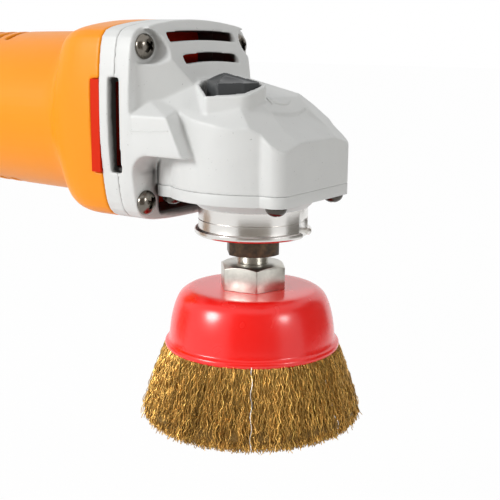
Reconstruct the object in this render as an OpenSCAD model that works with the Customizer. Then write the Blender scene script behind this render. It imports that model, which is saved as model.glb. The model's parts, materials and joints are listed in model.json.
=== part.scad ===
// Angle grinder of the 100 mm class, fitted with a crimped wire cup brush.
// Millimetres. +X points to the front of the gear head, +Z is up, the spindle turns
// about Z and the motor about X. Heights (h) in the modules are measured from the lower
// face of the guard collar; the frame's origin lies collar_datum above that face.

/* [Frame] */
// Height of the frame's origin above the collar's lower face
collar_datum = 5; // [4:0.5:7]
// Height of the motor axis above the collar's lower face
motor_h = 39.8; // [39:0.1:41]

/* [Motor housing] */
// Outer radius of the barrel behind the flange
barrel_r = 31.8; // [31:0.1:33]
// Outer radius of the barrel where the rear covers start
barrel_tail_r = 30; // [29:0.1:31]
// Wall of the moulded housing
housing_wall = 2.8; // [2:0.1:3]
// Length of the motor housing
housing_len = 124; // [120:1:140]
// Depth over which the flange rounds down to the barrel
flare_len = 17.3; // [14:0.1:20]
// Depth of the straight orange rim of the flange
rim_len = 9; // [7:0.5:11]

/* [Flange] */
// Half the width of the flange at its widest
flange_half_w = 36; // [35:0.1:38]
// Height of the flange's top
flange_top = 75.4; // [74:0.1:78]
// Height of the flange's bottom edge
flange_bottom = 4; // [3:0.1:5]
// Radius of the bulged flange sides
side_bulge_r = 170; // [140:5:220]
// Radius of the bulged flange top
top_bulge_r = 150; // [120:5:200]
// Distance from the spindle axis back to the flange's parting face
parting_back = 34; // [34:0.1:35]
// Thickness of the bearing plate between housing and gear case
plate_t = 7; // [6:0.1:8]
// Thickness of the gear case's flange
case_flange_t = 6.9; // [6:0.1:7.5]
// Sideways distance of the flange screws
flange_screw_y = 28; // [27.6:0.1:29]
// Height of the upper flange screws
flange_screw_top = 66; // [65:0.1:67]
// Height of the lower flange screws
flange_screw_low = 12; // [11:0.1:13]
// Radius of the flange screws' heads
flange_head_r = 4.4; // [4:0.1:4.8]
// Radius of the corner pockets that the upper flange screws sit in
screw_pocket_r = 5.8; // [5.4:0.1:6.4]

/* [Gear head] */
// Radius of the head about the spindle axis
head_r = 30.6; // [30:0.1:32]
// Distance of the flat front face from the spindle axis
head_front = 27; // [26.5:0.1:28]
// Height of the parting face between case and cover
cover_top = 18; // [17.5:0.1:18.5]
// Thickness of the cover plate's rim
cover_t = 3.9; // [3.5:0.1:4.5]
// Cover screws: distance along X from the spindle axis
cover_screw_x = 22; // [21.5:0.1:22.4]
// Cover screws: distance along Y from the spindle axis
cover_screw_y = 19; // [18.5:0.1:19.5]
// Radius of the corner bosses round the cover screws
corner_r = 5.2; // [4.8:0.1:5.5]
// Radius of the gear chamber
chamber_r = 24; // [23.5:0.1:25]

/* [Guard collar] */
// Outer radius of the collar that the guard clamps on
collar_r = 19.8; // [19.5:0.1:20.5]
// Height of the lower lip
lip_t = 2.3; // [2:0.1:2.6]
// How far the lip stands out past the collar
lip_out = 1.4; // [1:0.1:1.8]
// Length of the clamping cylinder above the lip
collar_len = 7.8; // [7:0.1:8.5]

/* [Bevel gears] */
// Teeth of the crown gear
gear_teeth = 35; // [33:1:37]
// Teeth of the pinion
pinion_teeth = 11; // [10:1:12]
// Pitch radius of the crown gear at its outer end
gear_pitch_r = 20; // [19.5:0.1:20.2]
// Face width of the teeth along the cone
face_w = 6; // [5:0.1:6.4]
// Sideways play between meshing teeth at the outer end
backlash = 0.32; // [0.25:0.01:0.4]
// Turn of the spiral teeth across the face of the crown gear, in degrees
gear_spiral = 9; // [0:1:12]

/* [Spindle] */
// Radius of the dark shoulder below the collar
shoulder_r = 10.2; // [9.5:0.1:10.4]
// How far the shoulder reaches below the collar
shoulder_drop = 7.3; // [6.5:0.1:8]
// Radius of the spindle at its lower bearing
spindle_bearing_r = 6; // [6:0.1:6.2]
// Radius of the spindle at the crown gear
spindle_gear_r = 5.5; // [5:0.1:5.6]
// Radius of the spindle's upper journal
journal_r = 4; // [3.8:0.1:4.2]
// Radius of the spindle's threaded end
thread_r = 5; // [4.8:0.1:5]

/* [Cup brush] */
// Width of the brush nut across its flats
nut_af = 22; // [21:0.5:23]
// Height of the brush nut
nut_t = 8.9; // [8:0.1:10]
// Gap between the spindle shoulder and the nut
nut_gap = 3.7; // [3:0.1:5]
// Outer radius of the cup's rolled lip
cup_r = 32.1; // [30:0.1:34]
// Height of the pressed cup
cup_h = 21.8; // [20:0.2:24]
// Sheet thickness of the cup
cup_t = 1.4; // [1:0.1:1.6]
// Radius that the wire tips flare to
wire_tip_r = 42.6; // [38:0.2:46]
// Free length of the wires below the cup
wire_len = 28.5; // [24:0.5:34]
// Tufts that the wires gather in round the brush
tufts = 24; // [18:1:30]
// Depth of the furrows between the tufts
tuft_depth = 1.4; // [0.8:0.1:2]

/* [Lock button] */
// Place of the lock pin, sideways from the spindle axis
lock_pin_y = 11.4; // [11.2:0.1:11.6]
// Radius of the lock pin
lock_pin_r = 1.85; // [1.7:0.05:1.9]
// Travel of the lock button
lock_travel = 3.6; // [3:0.1:3.8]

/* [Motor] */
// Radius of the armature core
armature_r = 17.6; // [17:0.1:17.8]
// Air gap between armature and field
air_gap = 0.5; // [0.4:0.05:0.8]
// Length of the armature and field cores
core_len = 40; // [34:1:42]
// Outer radius of the field core
field_r = 27.4; // [26.5:0.1:27.6]
// Radius of the motor shaft inside the core
shaft_r = 5; // [4.5:0.1:5.2]
// Outer radius of the fan
fan_r = 28.6; // [27:0.1:28.8]
// Blades on the fan
fan_blades = 18; // [14:1:20]
// Radius of the commutator
commutator_r = 11; // [10:0.1:11.5]
// Segments of the commutator
commutator_bars = 24; // [16:1:28]

/* [Rear covers] */
// Length of the rear covers
tail_len = 73; // [70:1:85]
// Wall of the rear covers
tail_wall = 2.6; // [2.2:0.1:3]
// Half the width of the tail at its end
tail_half_w = 23; // [21:0.5:26]
// Half the height of the tail at its end
tail_half_h = 25; // [23:0.5:28]
// Travel of the switch slider
switch_travel = 8; // [6:0.5:9]
// Radius of the bore in the cord inlet bush
cord_bore_r = 4.4; // [4:0.1:4.6]

/* [Fits] */
// Radial play of a turning or sliding fit
run_fit = 0.05; // [0.03:0.01:0.08]
// Play between pieces that are assembled and stay put
seat_fit = 0.03; // [0.02:0.01:0.05]
// Gap between moving pieces that don't touch
clear_gap = 0.5; // [0.35:0.05:0.6]

/* [Hidden] */
$fn = 96;
facet_n = 72;
eps = 0.01;
cut = 120;
parting_x = -parting_back;
housing_x = parting_x - plate_t;
case_face_x = parting_x + case_flange_t;
tail_x = housing_x - housing_len;
end_x = tail_x - tail_len;
spigot_r = barrel_tail_r - housing_wall - 0.5;
spigot_len = 6;
bulge_h = motor_h + 4;
bottom_bulge_r = 290;
head_top = 60;
wing_bottom = motor_h - 10.4;
wing_y = 35.6;
wing_fillet = 7;
wing_tip_x = -11.4;
wing_tip_h = motor_h + 3.2;
wing_lean = 26;
shoulder_y = 27.4;
shoulder_x = -14.7;

// Bevel gear pair: both pitch cones meet at the crossing of the two axes
shaft_ratio = gear_teeth / pinion_teeth;
pinion_cone = atan(1 / shaft_ratio);
gear_cone = 90 - pinion_cone;
module_m = 2 * gear_pitch_r / gear_teeth;
cone_len = gear_pitch_r / sin(gear_cone);
pinion_pitch_r = cone_len * sin(pinion_cone);
profile_shift = 0.4;
pressure = 20;
gear_web_top = motor_h - pinion_pitch_r - 1.2;
gear_web_bottom = gear_web_top - 5.2;

// Bearings: inner radius, outer radius, width
lower_brg_ri = spindle_bearing_r + seat_fit;
lower_brg_ro = 16;
lower_brg_w = 10;
lower_brg_h = 5;
front_brg_ro = 14;
front_brg_w = 8;
front_brg_x = parting_x - 4.5;
front_journal_r = 6;
rear_brg_ro = 11;
rear_brg_w = 7;
rear_journal_r = 4;
pinion_seat_r = 3.5;

// Stations along the motor axis
fan_x = housing_x - 17;
fan_depth = 11;
core_x = fan_x - 14 - core_len;
rear_brg_x = tail_x + 8;
commutator_x = rear_brg_x + 17;
commutator_len = 19;
boot_t = 1.6;

// Lock button: plan corners of its boss, its pocket and the button as [x, y, radius], from
// the near tip round to the rear
boss_plan = [[-1.0, -26.0, 1.8], [7.2, -18.9, 4.6], [7.2, -11.6, 4.6], [-9.9, -12.0, 4.2],
    [-9.7, -15.7, 3.2]];
pocket_plan = [[-1.0, -26.0, 0.6], [5.5, -17.6, 3.4], [6.6, -10.8, 2.6], [-9.9, -12.0, 3.0],
    [-9.7, -15.7, 2.0]];
button_plan = [[1.4, -23.4, 0.8], [5.5, -17.6, 3.0], [6.6, -10.8, 2.2], [-8.6, -12.0, 2.6],
    [-7.6, -15.0, 1.6]];
lock_tip = [1, -27];
lock_pocket_floor = motor_h + 3.7;
lock_rim_h = motor_h + 10.3;
button_tip_h = lock_rim_h + 4.3;
button_crest_h = lock_rim_h + 6.9;
pin_rest_h = gear_web_top + 1.5;
pin_top_h = motor_h + 13;
hub_drop = 5;

nut_top = -shoulder_drop - nut_gap;
nut_bottom = nut_top - nut_t;
cup_bottom = nut_bottom - cup_h;
wire_bottom = cup_bottom - wire_len;

slider_x = tail_x - 26;
slider_half = 12;
switch_x = slider_x - 21;
slider_h = motor_h;

// Screws: shank radius, radius of the clearance hole, radius of the tapped hole
flange_shank_r = 1.85;
flange_clear_r = 2.6;
flange_tap_r = 1.9;
cover_head_r = 3.7;
cover_shank_r = 1.9;
cover_clear_r = 2.3;
cover_tap_r = 2;
tail_head_r = 2.8;
tail_shank_r = 1.3;
tail_clear_r = 1.7;
tail_tap_r = 1.35;
clamp_head_r = 2.1;
clamp_shank_r = 1.1;

// Air passages through the flange: inlet over the motor, exhaust below, one at each side
inlet_half_w = 21;
inlet_low = motor_h + 19;
inlet_height = 12;
exhaust_half_w = 20;
exhaust_low = flange_bottom + 3.6;
exhaust_height = 7;
side_air_y = 20;
side_air_w = 11;
side_air_low = motor_h - 16;
side_air_height = 30;

// Roof of the gear head: the crown, the fold where the front slope starts, the shoulders
crown_h = motor_h + 10.6;
crown_slope = -0.26;
fold_x = 15;
fold_h = motor_h + 4.9;
front_facet_y = 13;
shoulder_top_h = motor_h + 6.2;
corner_facet_h = motor_h + 0.1;
// Steep face of the neck: a point on it at mid width
neck_face_x = -26.1;
neck_face_h = motor_h + 35.2;
neck_wall = 5.8;
air_chamber_low = motor_h + 18.6;

// ---------------------------------------------------------------- helpers

// Moves a piece drawn from the collar's lower face into the frame
module seated() translate([0, 0, -collar_datum]) children();

// Moves a piece drawn round the X axis to the motor axis
module on_motor() seated() translate([0, 0, motor_h]) children();

// Extrudes a flat outline, drawn as (Y, Z), from x0 to x1
module slab_x(x0, x1) translate([x0, 0, 0]) rotate([90, 0, 90]) linear_extrude(x1 - x0) children();

// Cylinder along X from x0 to x1
module rod_x(r, x0, x1) translate([x0, 0, 0]) rotate([0, 90, 0]) cylinder(r = r, h = x1 - x0);

// Ring along X from x0 to x1
module ring_x(ro, ri, x0, x1) difference() {
    rod_x(ro, x0, x1);
    rod_x(ri, x0 - 1, x1 + 1);
}

// Cylinder along Y from y0 to y1
module rod_y(r, y0, y1) translate([0, y0, 0]) rotate([-90, 0, 0]) cylinder(r = r, h = y1 - y0);

// Ring about Z from z0 to z1
module ring_z(ro, ri, z0, z1) translate([0, 0, z0]) difference() {
    cylinder(r = ro, h = z1 - z0);
    translate([0, 0, -1]) cylinder(r = ri, h = z1 - z0 + 2);
}

// Removes what lies above a sloping plane through [x, y, h]
module above(x, y, h, slope_x, slope_y) {
    steep = sqrt(1 + slope_x * slope_x + slope_y * slope_y);
    translate([x, y, h]) rotate([asin(slope_y / steep), atan(-slope_x), 0])
        translate([-cut, -cut, 0]) cube([2 * cut, 2 * cut, cut]);
}

module both_sides() {
    children();
    mirror([0, 1, 0]) children();
}

// Distance from o along the unit vector u to a circle that holds o
function reach(o, u, c, r) = let (d = c - o, t = u * d) t + sqrt(r * r - d * d + t * t);

// Outline of the flange: four bulged edges joined by soft corners, as (Y, Z)
function flange_point(a, inset) = let (
    o = [0, motor_h], u = [cos(a), sin(a)],
    side = side_bulge_r - flange_half_w,
    edges = [
        reach(o, u, [-side, bulge_h], side_bulge_r),
        reach(o, u, [side, bulge_h], side_bulge_r),
        reach(o, u, [0, flange_top - top_bulge_r], top_bulge_r),
        reach(o, u, [0, flange_bottom + bottom_bulge_r], bottom_bulge_r)],
    p = sin(a) > 0 ? 22 : 13,
    near = min(edges),
    soft = near * pow([for (e = edges) pow(near / e, p)] * [1, 1, 1, 1], -1 / p)
) o + (soft - inset) * u;

// Angle of point i round an outline: steps are finer at the flange's four corners
function ring_angle(i) = let (t = 360 * i / facet_n) t - 4 * sin(4 * (t - 45));

function flange_outline(inset = 0) = [for (i = [0:facet_n - 1])
    flange_point(ring_angle(i), inset)];

// Oval ring of the tail: half width w, half height v, squareness p, as (Y, Z)
function oval_point(a, w, v, p) =
    pow(pow(abs(cos(a)) / w, p) + pow(abs(sin(a)) / v, p), -1 / p) * [cos(a), sin(a)];

// Closed skin through rings of (Y, Z) points, one ring for each X station
module skin(stations, rings) {
    n = len(rings[0]);
    m = len(rings);
    points = [for (k = [0:m - 1]) for (q = rings[k]) [stations[k], q[0], q[1]]];
    sides = [for (k = [0:m - 2]) for (i = [0:n - 1]) let (j = (i + 1) % n)
        each [[k * n + j, k * n + i, (k + 1) * n + i], [k * n + j, (k + 1) * n + i, (k + 1) * n + j]]];
    ends = [[for (i = [0:n - 1]) i], [for (i = [n - 1:-1:0]) (m - 1) * n + i]];
    polyhedron(points, concat(sides, ends));
}

// ---------------------------------------------------------------- motor housing

flare_steps = [for (a = [0:11:77]) a];
flare_x = [for (a = flare_steps) -rim_len - flare_len * sin(a)];
flare_s = [for (a = flare_steps) 1 - cos(a)];
skin_x = concat([0], flare_x, [-rim_len - flare_len - 0.6, -rim_len - flare_len - 2.6,
    -rim_len - flare_len - 6, -housing_len]);
skin_s = concat([0], flare_s, [0.9, 0.975, 1, 1]);

function barrel_radius(x) = barrel_r - (barrel_r - barrel_tail_r) * x / -housing_len;

function housing_ring(x, s) = [for (i = [0:facet_n - 1]) let (a = ring_angle(i))
    (1 - s) * flange_point(a, 0) + s * ([0, motor_h] + barrel_radius(x) * [cos(a), sin(a)])];

module housing_skin() skin([for (i = [len(skin_x) - 1:-1:0]) housing_x + skin_x[i]],
    [for (i = [len(skin_x) - 1:-1:0]) housing_ring(skin_x[i], skin_s[i])]);

baffle_t = 4;
baffle_inset = 3.2;
tab_low = motor_h - 17.5;
tab_high = motor_h + 15;

module flange_holes(r, x0, x1) for (y = [-1, 1], h = [flange_screw_top, flange_screw_low])
    translate([0, y * flange_screw_y, h]) rod_x(r, x0, x1);

// Air slots through the barrel in front of the commutator
module barrel_vents(x, count) for (k = [0:count - 1]) for (side = [0, 180])
    translate([x - 7 * k, 0, motor_h]) rotate([side, 0, 0]) translate([0, 0, 20])
        cube([3, 26, 30], center = true);

module motor_housing() color("orange") {
    bore = barrel_tail_r - housing_wall;
    seated() difference() {
        union() {
            difference() {
                union() {
                    housing_skin();
                    translate([0, 0, motor_h]) rod_x(spigot_r, tail_x - spigot_len, tail_x + 2);
                }
                translate([0, 0, motor_h]) {
                    rod_x(bore + 0.9, fan_x - 4, housing_x + 1);
                    rod_x(field_r + 0.8, core_x - 5, fan_x);
                    rod_x(bore - 0.4, rear_brg_x - 1, core_x);
                    rod_x(spigot_r - 2.9, tail_x - spigot_len - 1, rear_brg_x + 3);
                }
                slab_x(housing_x - baffle_t, housing_x + 1) polygon(flange_outline(baffle_inset));
                both_sides() translate([housing_x - baffle_t, flange_half_w - 6, tab_low])
                    cube([baffle_t + 1, 10, tab_high - tab_low]);
            }
            // Rear bulkhead with the bearing seat on four ribs
            translate([0, 0, motor_h]) {
                ring_x(rear_brg_ro + boot_t + 3, rear_brg_ro + boot_t + seat_fit,
                    rear_brg_x - 2, rear_brg_x + rear_brg_w);
                for (a = [45:90:315]) rotate([a, 0, 0])
                    translate([rear_brg_x - 2, -2, rear_brg_ro + boot_t + 2])
                        cube([rear_brg_w + 2, 4, bore - rear_brg_ro - boot_t - 1.5]);
                // Ribs that hold the field core
                for (a = [0:60:300]) rotate([a, 0, 0]) translate([core_x, -2.5, field_r + seat_fit])
                    cube([core_len, 5, 1.6]);
            }
            // Bosses for the flange screws
            intersection() {
                flange_holes(5.5, housing_x - 22, housing_x - baffle_t);
                housing_skin();
            }
        }
        flange_holes(flange_tap_r, housing_x - 19, housing_x + 1);
        translate([0, 0, motor_h]) rod_x(fan_r + clear_gap, fan_x - 2, housing_x - baffle_t + 1);
        barrel_vents(commutator_x + 30, 3);
    }
}

module fan_baffle() color("red") seated() difference() {
    union() {
        slab_x(housing_x - baffle_t + seat_fit, housing_x - seat_fit)
            polygon(flange_outline(baffle_inset + seat_fit));
        both_sides() translate([housing_x - baffle_t + seat_fit, flange_half_w - 7, tab_low + seat_fit])
            cube([baffle_t - 2 * seat_fit, 6.7, tab_high - tab_low - 2 * seat_fit]);
    }
    translate([0, 0, motor_h]) rod_x(20.5, housing_x - baffle_t - 1, housing_x + 1);
    flange_holes(5.7, housing_x - baffle_t - 1, housing_x + 1);
}

module exhaust(x0, x1) slab_x(x0, x1) translate([-exhaust_half_w, exhaust_low])
    square([2 * exhaust_half_w, exhaust_height]);

// Windows that let the cooling air through: top, bottom and both sides
module air_windows(x0, x1) {
    slab_x(x0, x1) translate([-inlet_half_w, inlet_low]) square([2 * inlet_half_w, inlet_height]);
    exhaust(x0, x1);
    both_sides() slab_x(x0, x1) translate([side_air_y, side_air_low]) square([side_air_w, side_air_height]);
}

slot_low = motor_h - 17.3;
slot_high = motor_h + 15.7;

module bearing_plate() color("gainsboro") seated() difference() {
    union() {
        slab_x(housing_x, parting_x) polygon(flange_outline());
        translate([0, 0, motor_h]) rod_x(front_brg_ro + 3.4, parting_x - 1, front_brg_x + front_brg_w + 1);
    }
    translate([0, 0, motor_h]) {
        rod_x(front_brg_ro + seat_fit, front_brg_x, front_brg_x + front_brg_w);
        rod_x(front_brg_ro - 2.5, front_brg_x, front_brg_x + front_brg_w + 5);
        rod_x(front_journal_r + 2.5, housing_x - 1, front_brg_x + 1);
    }
    air_windows(housing_x - 1, parting_x + 1);
    both_sides() translate([parting_x - 3, 30, slot_low]) cube([4, 10, slot_high - slot_low]);
    flange_holes(flange_clear_r, housing_x - 1, parting_x + 1);
}

// ---------------------------------------------------------------- gear case

// Plan of the head and its cover: a drum with a flat front and four corner bosses
module head_plan() intersection() {
    union() {
        circle(r = head_r);
        square([2 * head_front, 2 * cover_screw_y], center = true);
        square([2 * cover_screw_x, 2 * (cover_screw_y + corner_r)], center = true);
        for (x = [-1, 1], y = [-1, 1]) translate([x * cover_screw_x, y * cover_screw_y])
            circle(r = corner_r);
    }
    square([2 * head_front, 4 * head_r], center = true);
}

shoulder_slope = 0.72;
front_slope = -0.8;
neck_slope = -1.71;

// The cast roof: crown, front slope, two front facets and two shoulders
module roof() {
    above(3.7, 0, crown_h, crown_slope, 0);
    above(fold_x, 0, fold_h, front_slope, 0);
    for (side = [-1, 1]) {
        above(fold_x, side * front_facet_y, fold_h, -0.83, -0.289 * side);
        above(-13, side * 27, shoulder_top_h, -0.13, -shoulder_slope * side);
        above(10.2, side * 28.9, corner_facet_h, -0.42, -side);
    }
}

// Side wings that run from the flange into the head: two facets on top, a leaning front
// and a fillet underneath
module wings() both_sides() {
    difference() {
        translate([case_face_x - 1, 15, wing_bottom]) cube([26, wing_y - 15, 24]);
        above(wing_tip_x, wing_y, wing_tip_h, 0, -0.69);
        above(wing_tip_x, wing_y, wing_tip_h, -0.227, -0.269);
        translate([wing_tip_x, 0, wing_tip_h]) rotate([0, -wing_lean, 0]) translate([0, 0, -40])
            cube([40, 60, 80]);
    }
    difference() {
        translate([case_face_x - 1, 15, wing_bottom - wing_fillet])
            cube([wing_fillet + 1, wing_y - 15, wing_fillet + 1]);
        translate([case_face_x + wing_fillet, 0, wing_bottom - wing_fillet])
            rod_y(wing_fillet, 14, wing_y + 1);
    }
}

// Neck between flange and head, with the steep vented face
module neck() {
    difference() {
        intersection() {
            slab_x(case_face_x - 1, -8) polygon(flange_outline());
            translate([0, 0, wing_bottom]) linear_extrude(head_top) polygon([[case_face_x - 1, 33],
                [case_face_x, 33], [-15.5, 20], [-8, 11.6], [-8, -11.6], [-15.5, -20],
                [case_face_x, -33], [case_face_x - 1, -33]]);
        }
        above(neck_face_x, 0, neck_face_h, neck_slope, 0);
    }
    translate([case_face_x - 1, -17, cover_top]) cube([20, 34, wing_bottom - cover_top + 1]);
}

// Curved vent slot: a short arc between two radii, cut straight through along X
module vent_slot(top_h, height, half_w, r) slab_x(parting_x + 2.4, 0) translate([0, top_h - r])
    intersection() {
        difference() {
            circle(r = r, $fn = 200);
            circle(r = r - height, $fn = 200);
        }
        translate([-half_w, r - 12]) square([2 * half_w, 14]);
    }

module lock_outline(plan) hull() for (c = plan) translate([c[0], c[1]])
    circle(r = c[2], $fn = 32);

module lock_boss() difference() {
    translate([0, 0, motor_h]) linear_extrude(20) lock_outline(boss_plan);
    above(lock_tip[0], lock_tip[1], lock_rim_h, -0.08, 0.235);
}

// Shallow panel in the front slope: rounded at the top, wider and fading out at the fold
module panel_recess() translate([26.8, 0, motor_h - 4.54]) rotate([0, atan(-front_slope) - 3.4, 0])
    translate([-17, 0, 0]) linear_extrude(10) difference() {
        polygon([[0, -10.5], [30, -19], [30, 19], [0, 10.5]]);
        translate([-27.5, 0]) circle(r = 31);
    }

handle_x = parting_x + 12.5;
handle_h = motor_h - 3.8;
handle_r = 3.4;
handle_depth = 12.5;

module gear_case() color("lightgray") seated() difference() {
    union() {
        slab_x(parting_x, case_face_x) polygon(flange_outline());
        difference() {
            union() {
                translate([0, 0, cover_top]) linear_extrude(head_top - cover_top) head_plan();
                translate([case_face_x - 1, -shoulder_y, wing_bottom])
                    cube([shoulder_x - case_face_x + 1, 2 * shoulder_y, 24]);
            }
            roof();
        }
        intersection() {
            wings();
            slab_x(case_face_x - 1, 0) polygon(flange_outline());
        }
        neck();
        lock_boss();
    }
    // Gear chamber with a coned ceiling, and the pinion tunnel
    translate([0, 0, cover_top - 1]) cylinder(r = chamber_r, h = 16);
    translate([0, 0, cover_top + 15 - eps]) cylinder(r1 = chamber_r, r2 = chamber_r - 7, h = 5.6);
    translate([0, 0, motor_h]) {
        rod_x(pinion_pitch_r + 2.3, parting_x, -7);
        rod_x(front_brg_ro + 3.4 + seat_fit, parting_x - 1, front_brg_x + front_brg_w + 1.6);
    }
    // Air chamber behind the vented face, side windows and lower exhaust
    difference() {
        translate([0, 0, air_chamber_low]) linear_extrude(12.5) polygon([[parting_x - 1, inlet_half_w],
            [case_face_x - 1, inlet_half_w], [-15, 16], [-15, -16], [case_face_x - 1, -inlet_half_w],
            [parting_x - 1, -inlet_half_w]]);
        above(neck_face_x, 0, neck_face_h - neck_wall, neck_slope, 0);
    }
    both_sides() slab_x(parting_x - 1, case_face_x - 2.2) translate([side_air_y, side_air_low])
        square([side_air_w, side_air_height]);
    difference() {
        exhaust(parting_x - 1, 0);
        translate([parting_x - 2, -40, cover_top - cover_t]) cube([40, 80, 80]);
    }
    both_sides() translate([parting_x - 1, 30, slot_low]) cube([3, 10, slot_high - slot_low]);
    // Vent slots
    vent_slot(motor_h + 31.6, 3.3, 19.7, 250);
    vent_slot(motor_h + 23.9, 3.0, 16.3, 150);
    // Flange screws in their corner pockets
    flange_holes(flange_clear_r, parting_x - 1, case_face_x + 1);
    both_sides() translate([case_face_x, flange_screw_y, flange_screw_top]) {
        rod_x(screw_pocket_r, 0, 30);
        translate([0, 0, -screw_pocket_r]) cube([30, 20, 30]);
    }
    // Cover screw threads
    for (x = [-1, 1], y = [-1, 1]) translate([x * cover_screw_x, y * cover_screw_y, cover_top - 1])
        cylinder(r = cover_tap_r, h = 11);
    // Spindle bush, lock pin guide and lock pocket
    translate([0, 0, cover_top + 20]) cylinder(r = journal_r + 2, h = motor_h + 7.4 - cover_top - 20);
    translate([0, -lock_pin_y, cover_top + 18]) cylinder(r = lock_pin_r + run_fit, h = 20);
    translate([0, 0, lock_pocket_floor]) linear_extrude(30) lock_outline(pocket_plan);
    panel_recess();
    // Threaded hole for the side handle
    translate([handle_x, 0, handle_h]) rod_y(handle_r, wing_y - handle_depth, wing_y + 1);
}

// Pan head screw along X with a cross recess; the head's seat is at x = 0
module pan_screw(head_r, head_t, r, length) difference() {
    rotate([0, 90, 0]) rotate_extrude() polygon([[0, -length], [r, -length], [r, 0], [head_r, 0],
        [head_r, 0.42 * head_t], [0.93 * head_r, 0.68 * head_t], [0.76 * head_r, 0.86 * head_t],
        [0.5 * head_r, 0.96 * head_t], [0, head_t]]);
    for (a = [0, 90]) rotate([a, 0, 0]) translate([head_t - 1.3, -head_r * 0.62, -0.45])
        cube([3, head_r * 1.24, 0.9]);
}

case_screw_len = 23;

module case_screws() color("dimgray") seated() for (y = [-1, 1])
    for (h = [flange_screw_top, flange_screw_low]) translate([case_face_x, y * flange_screw_y, h])
        pan_screw(flange_head_r, 3.2, flange_shank_r, case_screw_len);

// ---------------------------------------------------------------- cover and spindle support

module gear_cover() color("silver") seated() difference() {
    union() {
        translate([0, 0, cover_top - cover_t]) linear_extrude(cover_t) head_plan();
        translate([0, 0, cover_top - eps]) cylinder(r = chamber_r - seat_fit, h = 2.2);
        rotate_extrude() polygon([[0, 0], [collar_r + lip_out - 0.7, 0], [collar_r + lip_out, 0.7],
            [collar_r + lip_out, lip_t - 0.4], [collar_r + lip_out - 0.4, lip_t], [collar_r, lip_t],
            [collar_r, lip_t + collar_len], [collar_r + 1.3, lip_t + collar_len + 1.2],
            [collar_r + 3, cover_top - cover_t], [collar_r + 3, cover_top], [0, cover_top]]);
    }
    // Bearing seat, circlip groove and shaft hole
    translate([0, 0, lower_brg_h]) cylinder(r = lower_brg_ro + seat_fit, h = 30);
    translate([0, 0, lower_brg_h + lower_brg_w]) cylinder(r = lower_brg_ro + 1, h = 1.3);
    translate([0, 0, -1]) cylinder(r = shoulder_r + 0.4, h = 20);
    translate([0, 0, 2.4]) cylinder(r = shoulder_r + 3, h = 1.8);
    // Keyed flat on the right of the collar
    rotate(12) translate([collar_r - 0.6, -4.5, -1]) cube([4, 9, 7.6]);
    for (x = [-1, 1], y = [-1, 1]) translate([x * cover_screw_x, y * cover_screw_y, 0])
        cylinder(r = cover_clear_r, h = 30);
}

module cover_screws() color("dimgray") seated() for (x = [-1, 1], y = [-1, 1])
    translate([x * cover_screw_x, y * cover_screw_y, cover_top - cover_t]) rotate([0, 90, 0])
        pan_screw(cover_head_r, 3.4, cover_shank_r, 12);

// Shielded ball bearing along Z: the outer ring carries both shields
module bearing_outer(ri, ro, w) rotate_extrude() let (split = ri + 0.42 * (ro - ri))
    polygon([[ro, 0], [ro, w], [split, w], [split, w - 0.6], [ro - 2, w - 0.6], [ro - 2, 0.6],
        [split, 0.6], [split, 0]]);

module bearing_inner(ri, ro, w) let (split = ri + 0.42 * (ro - ri)) ring_z(split - 0.35, ri, 0, w);

module spindle_bearing_outer() color("silver") seated() translate([0, 0, lower_brg_h])
    bearing_outer(lower_brg_ri, lower_brg_ro, lower_brg_w);

module spindle_bearing_inner() color("silver") seated() translate([0, 0, lower_brg_h])
    bearing_inner(lower_brg_ri, lower_brg_ro, lower_brg_w);

module bearing_circlip() color("dimgray") seated() translate([0, 0, lower_brg_h + lower_brg_w + 0.05])
    difference() {
        cylinder(r = lower_brg_ro + 0.9, h = 1.2);
        translate([0, 0, -1]) cylinder(r = lower_brg_ro - 2.2, h = 4);
        translate([8, -3, -1]) cube([20, 6, 4]);
    }

module dust_felt() color("white") seated() ring_z(shoulder_r + 2.95, shoulder_r + 0.35, 2.45, 4.15);

module spindle_bush() color("goldenrod") seated()
    ring_z(journal_r + 2 - seat_fit, journal_r + run_fit, cover_top + 20.8, motor_h + 7.2);

// ---------------------------------------------------------------- spindle group

module spindle() color("dimgray") seated() {
    difference() {
        union() {
            translate([0, 0, nut_bottom + 1]) cylinder(r = thread_r, h = 20);
            translate([0, 0, nut_top + 0.05]) cylinder(r = thread_r + 0.6, h = nut_gap);
            translate([0, 0, -shoulder_drop]) cylinder(r = shoulder_r, h = shoulder_drop + 4.3);
            translate([0, 0, 4]) cylinder(r = spindle_bearing_r + 1.6, h = lower_brg_h - 4 - 0.02);
            translate([0, 0, 4]) cylinder(r = spindle_bearing_r, h = gear_web_bottom - hub_drop - 4.02);
            translate([0, 0, 16]) cylinder(r = spindle_gear_r, h = gear_web_top - 16 + 1.6);
            translate([0, 0, 30]) cylinder(r = journal_r, h = motor_h + 6.6 - 30);
        }
        // Two flats on the shoulder for an open spanner
        for (side = [0, 180]) rotate(40 + side) translate([shoulder_r - 1.2, -20, -shoulder_drop - 1])
            cube([10, 40, 5.5]);
        // Groove for the gear's circlip
        ring_z(spindle_gear_r + 1, spindle_gear_r - 0.5, gear_web_top + 0.3, gear_web_top + 1.2);
    }
}

function involute(a) = tan(a) * 180 / PI - a;

// Half tooth: [angle about the axis, height above the pitch cone], root to tip
function half_tooth(teeth, cone, shift, steps) = let (
    virtual_teeth = teeth / cos(cone),
    r = module_m * virtual_teeth / 2,
    base = r * cos(pressure),
    root = r - module_m * (1.25 - shift),
    tip = r + module_m * (1 + shift),
    low = max(root, base + 0.001),
    half = (90 + 2 * shift * tan(pressure) * 180 / PI) / virtual_teeth - backlash / r * 45 / PI
) [for (k = [-1:steps - 1]) let (
    rho = k < 0 ? root : low + (tip - low) * k / (steps - 1),
    on = max(rho, low),
    a = half + involute(pressure) - involute(acos(base / on))
) [a / cos(cone), rho - r]];

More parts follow.
